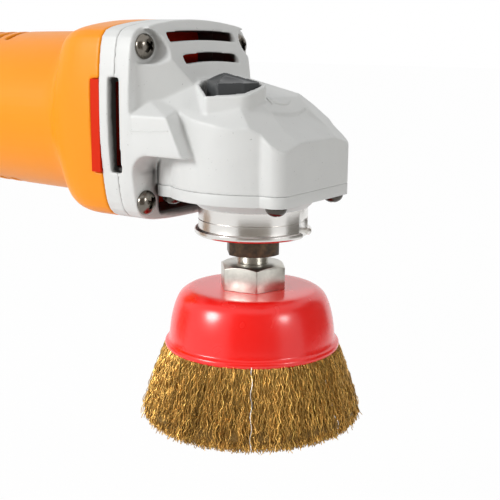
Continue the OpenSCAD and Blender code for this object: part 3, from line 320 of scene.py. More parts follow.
def cover_finish(name, paint, bright, edge_height):
    """Painted casting above the collar, bright turned collar below."""
    f = Finish(name, paint)
    ragged = 0.25 * MM * f.noise(1.5 * MM, 2)
    skin = (f.axis("Z") + ragged).over(edge_height - 0.05 * MM, edge_height + 0.05 * MM)
    rings = f.lathe_rings(0.22 * MM)
    peel = f.noise(0.7 * MM, 3, 0.55)
    paint_shade = f.shade(0.95 + 0.08 * f.noise(9 * MM, 3))
    metal_shade = f.scaled(bright, 0.88 + 0.16 * rings)
    f.set({"Base Color": f.mix(skin, metal_shade, paint_shade),
           "Metallic": 1.0 - skin,
           "Roughness": 0.4 * skin + (1.0 - skin) * (0.15 + 0.14 * rings)})
    f.bump(skin * peel + (1.0 - skin) * 0.5 * rings, 0.03 * MM)
    return f.material


def moulded_plastic(name, colour, roughness=0.34, grain=0.25 * MM, depth=0.008 * MM, specular=0.3):
    """Moulded plastic with a fine spark-eroded grain."""
    f = Finish(name, colour)
    flow = f.noise(14 * MM, 2)
    f.set({"Base Color": f.shade(0.97 + 0.05 * flow),
           "Roughness": roughness + 0.10 * f.noise(3 * MM, 2, seed=1.0),
           "Specular IOR Level": specular})
    f.bump(f.noise(grain, 2, 0.6), depth)
    return f.material


def enamel(name, colour):
    """Thick glossy enamel, slightly wavy, with fine dust under its surface."""
    f = Finish(name, colour)
    waves = f.noise(7 * MM, 1)
    dust = f.noise(0.5 * MM, 1, seed=5.0).over(0.74, 0.8)
    f.set({"Base Color": f.shade(0.96 + 0.06 * waves), "Roughness": 0.24 + 0.05 * waves,
           "Coat Roughness": 0.20, "Coat Weight": 0.42 + 0.1 * waves})
    f.bump(waves + 0.02 * dust, 0.05 * MM)
    return f.material


def plated_steel(name, colour, roughness=0.25, wear=0.25, speck=0.5 * MM):
    """Plated or blackened steel with uneven gloss and small marks."""
    f = Finish(name, colour, metallic=1.0)
    marks = f.noise(speck, 3, 0.7)
    patches = f.noise(2.2 * MM, 2, seed=1.0)
    f.set({"Base Color": f.shade(1.0 - wear * 0.5 + wear * patches),
           "Roughness": roughness * (0.7 + 0.6 * marks) + 0.06 * patches})
    f.bump(marks, 0.006 * MM)
    return f.material


def spindle_finish(name, dark, bright, edge):
    """Blackened shoulder with lathe rings; bright ground steel below the edge height."""
    f = Finish(name, dark, metallic=1.0)
    rings = f.lathe_rings(0.3 * MM)
    below = 1.0 - f.axis("Z").over(edge - 0.05 * MM, edge + 0.05 * MM)
    stain = f.noise(2.5 * MM, 4, 0.65).over(0.35, 0.7)
    rust = f.mix(stain, (*dark, 1), (dark[0] * 2.4, dark[1] * 1.9, dark[2] * 1.5, 1))
    f.set({"Base Color": f.mix(below, rust, (*bright, 1)),
           "Roughness": 0.36 - 0.2 * below + 0.14 * rings})
    f.bump(rings, 0.012 * MM)
    return f.material


def crimped_wire(name, colour):
    """Brass-coated steel wire; each wire has its own tone, and a rare one has lost its brass."""
    f = Finish(name, colour, metallic=1.0)
    tone = f.stored("tone")
    coat = f.mix(tone.over(0.996, 0.998), f.colour, WORN_WIRE)
    f.set({"Base Color": f.scaled(coat, 0.55 + 1.25 * tone ** 1.6),
           "Roughness": 0.22 + 0.2 * f.noise(0.6 * MM, 2)})
    return f.material


def wire_packing(name, colour):
    """The dense wires behind the outer ones, as fine streaks down the brush; the darker streaks are painted
    shade in the gaps between the wires.
    """
    f = Finish(name, colour, metallic=0.6)
    streaks = f.noise(0.5 * MM, 4, 0.75).over(0.35, 0.75)
    f.set({"Base Color": f.shade(0.3 + 0.9 * streaks ** 2.0), "Roughness": 0.4 + 0.3 * streaks})
    f.bump(streaks, 0.4 * MM)
    return f.material


def stacked_sheets(name, colour, along, pitch=0.5 * MM):
    """Laminated core: thin sheets stacked along an axis."""
    f = Finish(name, colour, 0.4, 1.0)
    turn = f.axis(along) * (2 * math.pi / pitch)
    wave = turn.math("SINE", turn)
    f.set({"Base Color": f.shade(0.85 + 0.15 * wave)})
    f.bump(0.5 + 0.5 * wave, 0.05 * MM)
    return f.material


def pressed_felt(name, colour):
    """Dull felt with short fibres."""
    f = Finish(name, colour, 0.95)
    fibres = f.noise(0.4 * MM, 5, 0.7)
    f.set({"Base Color": f.shade(0.75 + 0.4 * fibres)})
    f.bump(fibres, 0.15 * MM)
    return f.material


# ---------------------------------------------------------------- meshes


def add_object(name, data):
    """A new object in the scene with this mesh or lamp, at the origin and unturned."""
    made = bpy.data.objects.new(name, data)
    bpy.context.scene.collection.objects.link(made)
    return made


def object_of(bm, name):
    """A new object with a finished BMesh as its mesh."""
    mesh = bpy.data.meshes.new(name)
    bm.to_mesh(mesh)
    bm.free()
    return add_object(name, mesh)


def copy_of(node, name):
    """A new object with the CAD node's mesh, its loose triangles joined."""
    mesh = NODES[node].data.copy()
    mesh.name = name
    if "custom_normal" in mesh.attributes:
        mesh.attributes.remove(mesh.attributes["custom_normal"])
    bm = bmesh.new()
    bm.from_mesh(mesh)
    bmesh.ops.remove_doubles(bm, verts=bm.verts, dist=0.002 * MM)
    bmesh.ops.dissolve_degenerate(bm, edges=bm.edges, dist=0.001 * MM)
    bm.to_mesh(mesh)
    bm.free()
    mesh.materials.clear()
    return add_object(name, mesh)


def apply_modifiers(piece):
    """Turns the piece and its modifiers into a plain mesh."""
    bpy.context.view_layer.update()
    depsgraph = bpy.context.evaluated_depsgraph_get()
    mesh = bpy.data.meshes.new_from_object(piece.evaluated_get(depsgraph))
    piece.modifiers.clear()
    piece.data = mesh


def modify(piece, kind, **settings):
    """Adds a modifier of that kind, with these settings."""
    modifier = piece.modifiers.new(kind, kind)
    for name, value in settings.items():
        setattr(modifier, name, value)


def carry(piece, node):
    """Has a piece ride with a CAD node's body."""
    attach(piece, BODY_OF[node])


def finish_piece(piece, node, material):
    """Gives a piece its finish, and has it stand for its CAD node on that node's body."""
    piece.data.materials.clear()
    piece.data.materials.append(material)
    piece.data.shade_smooth()
    carry(piece, node)
    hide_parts(node)
    return piece


def rounded_casting(node, name, material, grain, passes, keep=0.45, shape=None):
    """The CAD node with all its edges rounded, as a casting or moulding has them.

    grain is the size of the mesh it is rounded on, passes how often that is smoothed and keep the
    share of its faces that stay. shape changes the piece before it is rounded.
    """
    piece = copy_of(node, name)
    if shape:
        shape(piece)
    modify(piece, "REMESH", mode="VOXEL", voxel_size=grain, adaptivity=0.0)
    modify(piece, "SMOOTH", factor=0.5, iterations=passes)
    modify(piece, "DECIMATE", ratio=keep)
    apply_modifiers(piece)
    return finish_piece(piece, node, material)


def bevelled(node, name, material, width, segments=2):
    """The CAD node with small bevels on its sharp edges."""
    piece = copy_of(node, name)
    modify(piece, "DECIMATE", decimate_type="DISSOLVE", angle_limit=math.radians(1))
    modify(piece, "BEVEL", width=width, segments=segments, limit_method="ANGLE",
           angle_limit=math.radians(30))
    apply_modifiers(piece)
    finish_piece(piece, node, material)
    piece.data.set_sharp_from_angle(angle=math.radians(38))
    return piece


def thumb_dish(button):
    """Sinks the button's top inside a raised lip."""
    bm = bmesh.new()
    bm.from_mesh(button.data)
    bmesh.ops.dissolve_limit(bm, angle_limit=math.radians(2), verts=bm.verts, edges=bm.edges)
    head_low = max(v.co.z for v in bm.verts) - 6 * MM
    top = [f for f in bm.faces if f.normal.z > 0.6 and f.calc_center_median().z > head_low]
    bmesh.ops.inset_region(bm, faces=top, thickness=1.1 * MM, depth=-0.7 * MM, use_even_offset=True)
    bmesh.ops.triangulate(bm, faces=bm.faces)
    bm.to_mesh(button.data)
    bm.free()


def raised_strip(name, node, line, widths, ray, height, material):
    """A low raised strip that lies on a CAD node's surface, found along a ray from each point.

    line holds (point, sideways direction) pairs and widths the strip's half widths there.
    """
    skin = skin_of(node)
    ray = Vector(ray)
    sunk = 0.4 * MM
    bm = bmesh.new()
    rows = []
    for (point, side), width in zip(line, widths):
        row = []
        for offset in (-width, width):
            start = Vector(point) + Vector(side) * offset
            found = skin.ray_cast(start, ray)[0]
            if found is None:
                raise ValueError("%s: its line misses %s at %s" % (name, node, tuple(start)))
            row += [bm.verts.new(found - ray * height), bm.verts.new(found + ray * sunk)]
        rows.append(row)
    for (a, b, c, d), (e, f, g, h) in zip(rows, rows[1:]):
        for corners in ((a, c, g, e), (b, f, h, d), (a, e, f, b), (c, d, h, g)):
            bm.faces.new(corners)
    for a, b, c, d in (rows[0], rows[-1]):
        bm.faces.new((a, b, d, c))
    bmesh.ops.recalc_face_normals(bm, faces=bm.faces)
    strip = object_of(bm, name)
    modify(strip, "BEVEL", width=0.12 * MM, segments=2, limit_method="ANGLE", angle_limit=math.radians(50))
    apply_modifiers(strip)
    strip.data.materials.append(material)
    strip.data.shade_smooth()
    carry(strip, node)


def skin_of(node):
    """A CAD node's surface, for rays to hit."""
    mesh = NODES[node].data
    return BVHTree.FromPolygons([v.co for v in mesh.vertices], [p.vertices for p in mesh.polygons])


def mark_shelter(piece, walls, reach, passes=8):
    """Stores on each vertex how much of what it faces is closed off by walls, from 0 to 1.

    Walls further off than reach don't count. Each pass smooths the shares over neighbours.
    """
    skins = [skin_of(node) for node in walls]
    leans = ((0, 0), (0.8, 0), (-0.8, 0), (0, 0.8), (0, -0.8))
    off = 0.6 * MM
    shares = []
    for v in piece.data.vertices:
        side = v.normal.orthogonal().normalized()
        other = v.normal.cross(side)
        rays = [(v.normal + side * a + other * b).normalized() for a, b in leans]
        start = v.co + v.normal * off
        closed = sum(any(skin.ray_cast(start, ray, reach)[0] for skin in skins) for ray in rays)
        shares.append(closed / len(rays))
    ends = np.array([e.vertices for e in piece.data.edges])
    shares = np.array(shares)
    links = np.bincount(ends.ravel(), minlength=len(shares))
    for _ in range(passes):
        near = np.zeros(len(shares))
        np.add.at(near, ends[:, 0], shares[ends[:, 1]])
        np.add.at(near, ends[:, 1], shares[ends[:, 0]])
        shares = 0.5 * shares + 0.5 * near / np.maximum(links, 1)
    piece.data.attributes.new("shelter", "FLOAT", "POINT").data.foreach_set("value", shares)


def turn_groove(piece, height, inner, outer, depth=0.16 * MM):
    """Turns a hairline groove into the outside of a collar whose radius lies from inner to outer."""
    bm = bmesh.new()
    bm.from_mesh(piece.data)
    for z in (height - depth, height, height + depth):
        bmesh.ops.bisect_plane(bm, geom=bm.verts[:] + bm.edges[:] + bm.faces[:],
                               plane_co=(0, 0, z), plane_no=(0, 0, 1), dist=0.001 * MM)
    for v in bm.verts:
        radius = math.hypot(v.co.x, v.co.y)
        if abs(v.co.z - height) < 0.01 * MM and inner < radius < outer:
            v.co.x *= 1 - depth / radius
            v.co.y *= 1 - depth / radius
    bm.to_mesh(piece.data)
    bm.free()
    piece.data.set_sharp_from_angle(angle=math.radians(32))


def dress(material, *nodes):
    """CAD nodes whose shape is right get their finish."""
    for node in nodes:
        for slot in NODES[node].material_slots:
            slot.link = "OBJECT"
            slot.material = material


def join_rings(bm, ring, following):
    """Faces all the way round between two rings with as many vertices."""
    for i in range(len(ring)):
        j = (i + 1) % len(ring)
        bm.faces.new((ring[i], ring[j], following[j], following[i]))


def lathe(name, profile, segments=128):
    """A closed solid turned about Z from (radius, height) points that run round its section."""
    bm = bmesh.new()
    rings = [[bm.verts.new((r * math.cos(a), r * math.sin(a), z)) for a in
              (2 * math.pi * i / segments for i in range(segments))] for r, z in profile]
    for ring, following in zip(rings, rings[1:] + rings[:1]):
        join_rings(bm, ring, following)
    bmesh.ops.recalc_face_normals(bm, faces=bm.faces)
    return object_of(bm, name)


def coil_spring(name, node, wire, turns, steps=28, sides=8):
    """A compression spring of round wire that fills its CAD node's box."""
    low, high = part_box(node)
    middle = (low + high) / 2
    radius = (high.x - low.x - wire) / 2
    section = [2 * math.pi * k / sides for k in range(sides)]
    bm = bmesh.new()
    rings = []
    for i in range(turns * steps + 1):
        angle = 2 * math.pi * i / steps
        out = Vector((math.cos(angle), math.sin(angle), 0))
        rise = low.z + wire / 2 + (high.z - low.z - wire) * i / (turns * steps)
        centre = Vector((middle.x, middle.y, rise)) + out * radius
        rings.append([bm.verts.new(centre + (out * math.cos(b) + Vector((0, 0, math.sin(b)))) * wire / 2)
                      for b in section])
    for ring, following in zip(rings, rings[1:]):
        join_rings(bm, ring, following)
    for end in (rings[0], rings[-1]):
        bm.faces.new(end)
    bmesh.ops.recalc_face_normals(bm, faces=bm.faces)
    return object_of(bm, name)


def flowing(points, steps):
    """A smooth curve through the points, as a list of points with that many steps between two."""
    padded = [points[0], *points, points[-1]]
    line = []
    for i in range(1, len(padded) - 2):
        a, b, c, d = (Vector(p) for p in padded[i - 1:i + 3])
        for k in range(steps):
            t = k / steps
            line.append(0.5 * (2 * b + (c - a) * t + (2 * a - 5 * b + 4 * c - d) * t * t
                               + (3 * b - a - 3 * c + d) * t ** 3))
    line.append(Vector(points[-1]))
    return line


# ---------------------------------------------------------------- operators


class GrinderOperator(bpy.types.Operator):
    """Shared by the grinder's operators."""

    bl_options = {"REGISTER", "UNDO"}

    @property
    def colours(self):
        return bpy.context.scene.grinder_colours


class GRINDER_OT_castings(GrinderOperator):
    """Gear case, bearing plate and gear cover"""

    bl_idname = "grinder.castings"
    bl_label = "Castings"

    def execute(self, context):
        cast = context.scene.grinder_casting
        paint = cast_paint("cast_paint", self.colours.paint)
        case = rounded_casting("gear_case", "gear_case_casting", paint, cast.grain, cast.rounding)
        plate = rounded_casting("bearing_plate", "bearing_plate_casting", paint, cast.grain * 0.8,
                                 passes=5, keep=0.6)
        walls = ("gear_case", "bearing_plate", "gear_cover", "fan_baffle", "motor_housing")
        # The shelter darkens the paint in hollows and inside: painted shade
        for piece in (case, plate):
            mark_shelter(piece, walls, reach=45 * MM)
        self.turning_arrow(paint)
        self.wing_seam(paint)
        collar_top = 5.3 * MM
        finish = cover_finish("cover_finish", self.colours.paint, (0.80, 0.78, 0.75), collar_top)
        cover = bevelled("gear_cover", "gear_cover_casting", finish, width=0.12 * MM)
        collar_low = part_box("gear_cover")[0].z
        turn_groove(cover, (collar_low + collar_top) / 2 + 0.4 * MM, inner=19.3 * MM, outer=20.3 * MM)
        return {"FINISHED"}

    def turning_arrow(self, paint):
        """A plain raised arrow on the case's nose that bends about the spindle, its head first."""
        radius, above = 12.2 * MM, 90 * MM
        turns = [math.radians(a) for a in range(-36, 27, 3)]
        line = [((radius * math.cos(a), radius * math.sin(a), above), (math.cos(a), math.sin(a), 0))
                for a in turns]
        head = [0.1 * MM, 1.1 * MM, 2.1 * MM]
        widths = head + [0.75 * MM] * (len(turns) - len(head))
        raised_strip("turning_arrow", "gear_case", line, widths, (0, 0, -1), height=0.55 * MM,
                     material=paint)

    def wing_seam(self, paint):
        """The line that the die's halves leave along the wing, which rises a little to the nose."""
        beside, middle, level, slope = -60, -25, 32.7, 0.06
        line = [((x * MM, beside * MM, (level + slope * (x - middle)) * MM), (0, 0, 1))
                for x in (-27, -20, -14, -10.5)]
        widths = [0.22 * MM] * len(line)
        raised_strip("wing_seam", "gear_case", line, widths, (0, 1, 0), height=0.24 * MM, material=paint)


class GRINDER_OT_housing(GrinderOperator):
    """Motor housing, air baffle and rear covers"""

    bl_idname = "grinder.housing"
    bl_label = "Housing"

    def execute(self, context):
        cast = context.scene.grinder_casting
        plastic = moulded_plastic("housing_plastic", self.colours.housing)
        for node, name in (("motor_housing", "motor_housing_moulding"),
                           ("rear_cover_left", "rear_cover_left_moulding"),
                           ("rear_cover_right", "rear_cover_right_moulding")):
            rounded_casting(node, name, plastic, cast.moulding_grain, passes=6)
        dress(moulded_plastic("baffle_plastic", self.colours.baffle, 0.4, specular=0.1), "fan_baffle")
        return {"FINISHED"}


class GRINDER_OT_fasteners(GrinderOperator):
    """Screws of the case, cover and tail"""

    bl_idname = "grinder.fasteners"
    bl_label = "Fasteners"

    def execute(self, context):
        nickel = plated_steel("black_nickel", (0.19, 0.172, 0.148), 0.17, wear=0.5)
        # The cover screws get a darker copy of the black nickel: painted shade
        dark_nickel = plated_steel("dark_nickel", (0.085, 0.077, 0.068), 0.2, wear=0.5)
        tree = screw_tree()
        screw_set(tree, "case_screws", Vector((1, 0, 0)), head=3.2 * MM, material=nickel)
        screw_set(tree, "cover_screws", Vector((0, 0, -1)), head=3.4 * MM, material=dark_nickel)
        dress(nickel, "rear_cover_screws", "field_screws", "clamp_screws")
        return {"FINISHED"}


class GRINDER_OT_lock(GrinderOperator):
    """Lock button, pin and spring"""

    bl_idname = "grinder.lock"
    bl_label = "Lock button"

    def execute(self, context):
        plastic = moulded_plastic("button_plastic", self.colours.button, 0.3, grain=0.4 * MM,
                                  depth=0.01 * MM)
        rounded_casting("lock_button", "lock_button_moulding", plastic, grain=0.22 * MM, passes=4,
                        keep=0.5, shape=thumb_dish)
        dress(turned_metal("ground_pin", (0.6, 0.6, 0.61)), "lock_pin")
        spring = coil_spring("lock_spring_coil", "lock_spring", wire=0.68 * MM, turns=4)
        finish_piece(spring, "lock_spring", plated_steel("spring_steel", (0.35, 0.35, 0.36)))
        low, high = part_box("lock_spring")
        length = high.z - low.z
        press = next(j for j in frame["record"]["behaviour"]["joints"] if j["name"] == "lock_press")
        spare = 0.1 * MM
        pressed = length - press["range_m"][1] - spare
        pressed / length
        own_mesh(spring)
        return {"FINISHED"}


class GRINDER_OT_spindle(GrinderOperator):
    """Spindle and brush nut"""

    bl_idname = "grinder.spindle"
    bl_label = "Spindle and nut"

    def execute(self, context):
        neck_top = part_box("brush_nut")[1].z + 3.6 * MM
        steel = spindle_finish("spindle_steel", (0.055, 0.045, 0.035), (0.66, 0.64, 0.60), neck_top)
        bevelled("spindle", "spindle_turning", steel, width=0.25 * MM)
        zinc = plated_steel("zinc_plate", (0.60, 0.585, 0.53), 0.3, wear=0.6, speck=0.35 * MM)
        bevelled("brush_nut", "brush_nut_forging", zinc, width=0.3 * MM, segments=3)
        return {"FINISHED"}


class GRINDER_OT_cup(GrinderOperator):
    """Pressed cup of the brush"""

    bl_idname = "grinder.cup"
    bl_label = "Brush cup"

    def execute(self, context):
        low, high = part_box("brush_cup")
        rim, foot = high.x / MM, -(high.z - low.z) / MM
        # Radius, and height from the top, in millimetres: down the outside, then up the inside
        outer = [(8, 0), (16, 0), (rim - 9.9, -0.15), (rim - 7.6, -0.9), (rim - 5.7, -2.4),
                 (rim - 4.4, -4.6), (rim - 3.3, -7.7), (rim - 2.4, -11.5), (rim - 1.85, -15.5),
                 (rim - 1.55, foot + 3.4), (rim - 1.1, foot + 2.6), (rim - 0.25, foot + 2.1),
                 (rim, foot + 1.2), (rim - 0.3, foot + 0.3), (rim - 0.9, foot)]
        inner = [(rim - 1.7, foot + 0.4), (rim - 2.7, foot + 3), (rim - 3.9, -11.6), (rim - 5.0, -7.6),
                 (rim - 6.6, -4.6), (rim - 9.6, -1.9), (16, -1.4), (8, -1.4)]
        line = [(p.x * MM, high.z + p.y * MM) for p in flowing(outer, 5) + flowing(inner, 3)]
        cup = lathe("brush_cup_pressing", line, segments=192)
        finish_piece(cup, "brush_cup", enamel("cup_enamel", self.colours.enamel))
        return {"FINISHED"}


class GRINDER_OT_wires(GrinderOperator):
    """Crimped wires of the brush"""

    bl_idname = "grinder.wires"
    bl_label = "Wires"

    def execute(self, context):
        brush = context.scene.grinder_brush
        brass = crimped_wire("crimped_wire", self.colours.wire)
        low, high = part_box("wire_bundle")
        edge = high.x / MM
        alike = {"Facing": 0.0, "Spread": 2 * math.pi, "Root height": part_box("brush_cup")[0].z + 2.0 * MM,
                 "Tip height": low.z + 0.5 * MM, "Crimp": brush.crimp, "Thickness": brush.thickness,
                 "Material": brass}
        bare = {"Facing": context.scene.grinder_stage.azimuth - math.pi / 2, "Spread": 0.0,
                "Crimp": 0.3 * MM, "Thickness": brush.thickness * 1.3,
                "Material": plated_steel("bare_steel_wire", (0.78, 0.76, 0.72), 0.3)}
        # Name, wires, root radius and band, tip radius and band, lift of the outer tips, seed's step;
        # the sizes are in millimetres
        rings = [("wires_flank_%d" % k, brush.wires, 31.0, 2.6, edge - 2.4, 3.4, 3.0, 10 * k)
                 for k in range(5)]
        rings += [("wires_middle", brush.wires, 29.5, 5.0, edge - 4.0, 5.0, 1.5, 63),
                  ("wires_inner", brush.wires // 2, 22.0, 9.0, edge - 15.0, 14.0, 1.0, 71),
                  ("bare_wire", 1, 31.4, 0.1, edge - 0.5, 0.1, 3.0, 71)]
        tree = wire_tree()
        for ring, count, root, root_band, tip, tip_band, lift, step in rings:
            sizes = {**alike, "Count": count, "Seed": brush.seed + step,
                     "Root radius": root * MM, "Root band": root_band * MM,
                     "Tip radius": tip * MM, "Tip band": tip_band * MM, "Lift": lift * MM}
            if ring == "bare_wire":
                sizes.update(bare)
            carry(grow(tree, "brush_" + ring, sizes), "wire_bundle")
        core = copy_of("wire_bundle", "brush_wire_packing")
        shrink_core(core, depth=3.0 * MM)
        finish_piece(core, "wire_bundle", wire_packing("wire_packing", self.colours.wire))
        return {"FINISHED"}


class GRINDER_OT_inner(GrinderOperator):
    """Motor, gears, bearings and switch"""

    bl_idname = "grinder.inner"
    bl_label = "Inner pieces"

    def execute(self, context):
        dress(turned_metal("ground_steel", (0.62, 0.62, 0.63), 0.16),
              "spindle_bearing_outer", "spindle_bearing_inner", "front_bearing_outer",
              "front_bearing_inner", "rear_bearing_outer", "rear_bearing_inner", "armature_shaft")
        dress(plated_steel("gear_steel", (0.33, 0.34, 0.35), 0.3), "crown_gear", "pinion", "pinion_nut")
        dress(bpy.data.materials["spring_steel"],
              "bearing_circlip", "gear_circlip", "brush_springs", "switch_link")
        dress(plated_steel("copper", (0.70, 0.30, 0.14), 0.3, wear=0.3), "commutator")
        dress(plated_steel("enamelled_copper", (0.50, 0.17, 0.06), 0.35, wear=0.5, speck=0.3 * MM),
              "field_coils", "armature_windings")
        dress(plated_steel("brass", (0.78, 0.56, 0.24), 0.25), "brush_holders")
        dress(plated_steel("sintered_bronze", (0.55, 0.36, 0.18), 0.45), "spindle_bush")
        dress(moulded_plastic("black_plastic", (0.02, 0.02, 0.022), 0.4),
              "switch_body", "cord_clamp", "cooling_fan")
        dress(moulded_plastic("pressed_carbon", (0.012, 0.012, 0.013), 0.55, grain=0.15 * MM,
                              depth=0.02 * MM), "carbon_brushes")
        dress(moulded_plastic("rubber", (0.016, 0.016, 0.016), 0.7, grain=0.3 * MM, depth=0.015 * MM),
              "bearing_boot", "cord_inlet")
        dress(stacked_sheets("stacked_sheets", (0.33, 0.33, 0.35), along="X"),
              "field_core", "armature_core")
        dress(pressed_felt("pressed_felt", (0.62, 0.58, 0.50)), "dust_felt")
        plastic = bpy.data.materials["button_plastic"]
        rounded_casting("switch_slider", "switch_slider_moulding", plastic, grain=0.3 * MM, passes=3,
                        keep=0.4)
        return {"FINISHED"}


class GRINDER_OT_stage(GrinderOperator):
    """Camera, softboxes, sky and floor"""

    bl_idname = "grinder.stage"
    bl_label = "Stage"

    def execute(self, context):
        scene, stage = context.scene, context.scene.grinder_stage
        scene.view_settings.view_transform = "Standard"
        place_camera(scene, stage)
        softbox("key_softbox", azimuth=-28, elevation=21, power=stage.key, size=0.27)
        softbox("fill_softbox", azimuth=83, elevation=22, power=stage.fill, size=0.17)
        light_sky(scene, stage.sky)
        floor = CAD_BOX[0].z - 60 * MM
        add_floor(floor)
        # Name, azimuths of its two ends in degrees, distance, height of its top, colour
        cards = (("front_card", (3, 71), 0.52, 0.46, (0.42, 0.39, 0.35)),
                 ("side_card", (106, 166), 0.52, 0.42, (0.26, 0.25, 0.23)),
                 ("warm_card", (-92, -66), 0.48, 0.06, (0.66, 0.50, 0.38)))
        for name, azimuths, distance, top, colour in cards:
            add_card(name, azimuths, distance, (floor + 2 * MM, top), colour)
        return {"FINISHED"}


# ---------------------------------------------------------------- geometry trees


def new_tree(name, kinds):
    """A geometry tree with these named inputs, and each input as a Wired value."""
    group = bpy.data.node_groups.new(name, "GeometryNodeTree")
    for label, kind in kinds.items():
        group.interface.new_socket(label, in_out="INPUT", socket_type="NodeSocket" + kind)
    group.interface.new_socket("Geometry", in_out="OUTPUT", socket_type="NodeSocketGeometry")
    t = Tree(group)
    source = group.nodes.new("NodeGroupInput")
    return t, {label: Wired(t, source.outputs[label]) for label in kinds}


def chance(t, low, high, seed):
    """A random number for each element; 2 and 3 are the node's inputs for a plain number."""
    return t.node("FunctionNodeRandomValue", {"data_type": "FLOAT"}, {2: low, 3: high, "Seed": seed},
                  output=1)


def end_tree(t, geometry, material):
    """Ends a geometry tree in plain geometry of one material, and returns the tree."""
    geometry = t.node("GeometryNodeRealizeInstances", sockets={"Geometry": geometry})
    geometry = t.node("GeometryNodeSetMaterial", sockets={"Geometry": geometry, "Material": material})
    t.node("NodeGroupOutput", sockets={"Geometry": geometry})
    return t.tree


def grow(tree, name, sizes):
    """Runs a geometry tree with these inputs and keeps its result as a plain mesh."""
    piece = add_object(name, bpy.data.meshes.new(name))
    modifier = piece.modifiers.new("grow", "NODES")
    modifier.node_group = tree
    sockets = {s.name: s.identifier for s in tree.interface.items_tree if s.in_out == "INPUT"}
    for label, value in sizes.items():
        modifier[sockets[label]] = value
    apply_modifiers(piece)
    piece.data.shade_smooth()
    return piece


# ---------------------------------------------------------------- screws


def separate_solids(node):
    """The vertices of each solid in a CAD node, with the solids in the mesh's own order."""
    bm = bmesh.new()
    bm.from_mesh(NODES[node].data)
    bmesh.ops.remove_doubles(bm, verts=bm.verts, dist=0.002 * MM)
    seen, groups = set(), []
    for first in bm.verts:
        if first in seen:
            continue
        seen.add(first)
        heap, group = [first], []
        while heap:
            v = heap.pop()
            group.append(v.co.copy())
            for e in v.link_edges:
                other = e.other_vert(v)
                if other not in seen:
                    seen.add(other)
                    heap.append(other)
        groups.append(group)
    bm.free()
    return groups


def pan_screw(name, head_radius, head, shank_radius, length):
    """A pan head screw along Z, its top at the origin, with a cross recess."""
    pole, chamfer, tip = 0.05 * MM, 0.15 * MM, 0.4 * MM
    dome = [(head_radius * math.sin(a), -head * (1 - math.cos(a)) * 0.85)
            for a in (math.radians(4 + 86 * k / 9) for k in range(10))]
    profile = [(pole, 0), *dome, (head_radius, -head * 0.9), (head_radius - chamfer, -head),
               (shank_radius, -head), (shank_radius, -length + tip), (shank_radius - tip, -length),
               (pole, -length)]
    screw = lathe(name, profile, 40)
    for turn in (0, math.pi / 2):
        bm = bmesh.new()
        bmesh.ops.create_cube(bm, size=1)
        for v in bm.verts:
            taper = 0.45 if v.co.z < 0 else 1.0
            v.co = Vector((v.co.x * head_radius * 1.4 * taper, v.co.y * 0.3 * head_radius,
                           v.co.z * head * 1.2))
        bmesh.ops.rotate(bm, verts=bm.verts, cent=(0, 0, 0), matrix=Matrix.Rotation(turn, 3, "Z"))
        bit = object_of(bm, name + "_bit")
        modify(screw, "BOOLEAN", object=bit, operation="DIFFERENCE", solver="EXACT")
        apply_modifiers(screw)
        bpy.data.objects.remove(bit)
    return screw


def screw_tree():
    """Geometry nodes: the same screw at each point, each one turned by chance about its axis."""
    t, given = new_tree("screws_in_place", {"Places": "Object", "Screw": "Object", "Direction": "Vector",
                                            "Seed": "Int", "Material": "Material"})
    places = t.node("GeometryNodeObjectInfo", sockets={"Object": given["Places"]}, output="Geometry")
    points = t.node("GeometryNodeMeshToPoints", sockets={"Mesh": places})
    screw = t.node("GeometryNodeObjectInfo", sockets={"Object": given["Screw"]}, output="Geometry")
    own = t.node("ShaderNodeCombineXYZ", sockets={"Z": chance(t, 0.0, 2 * math.pi, given["Seed"])})
    facing = t.node("FunctionNodeAlignEulerToVector", {"axis": "Z"},
                    {"Rotation": own, "Vector": given["Direction"]})
    screws = t.node("GeometryNodeInstanceOnPoints",
                    sockets={"Points": points, "Instance": screw, "Rotation": facing})
    return end_tree(t, screws, given["Material"])


def screw_set(tree, node, axis, head, material):
    """Puts a finished screw in the place of each screw of a CAD node; axis is out of the head."""
    solids = separate_solids(node)
    tops = []
    for solid in solids:
        along = [v.dot(axis) for v in solid]
        centre = Vector([(min(c) + max(c)) / 2 for c in zip(*solid)])
        tops.append(centre + axis * (max(along) - centre.dot(axis)))
    first, top = solids[0], tops[0]
    depths = [(top - v).dot(axis) for v in first]
    radii = [(v - top + axis * d).length for v, d in zip(first, depths)]
    length = max(depths)
    shank = max(r for r, d in zip(radii, depths) if d > 0.7 * length)
    screw = pan_screw(node + "_model", max(radii), head, shank, length)
    mesh = bpy.data.meshes.new(node + "_places")
    mesh.from_pydata(tops, [], [])
    places = add_object(node + "_places", mesh)
    piece = grow(tree, node + "_turned",
                 {"Places": places, "Screw": screw, "Direction": axis, "Seed": 3, "Material": material})
    for helper in (screw, places):
        bpy.data.objects.remove(helper)
    finish_piece(piece, node, material)
    piece.data.set_sharp_from_angle(angle=math.radians(40))


# ---------------------------------------------------------------- wires


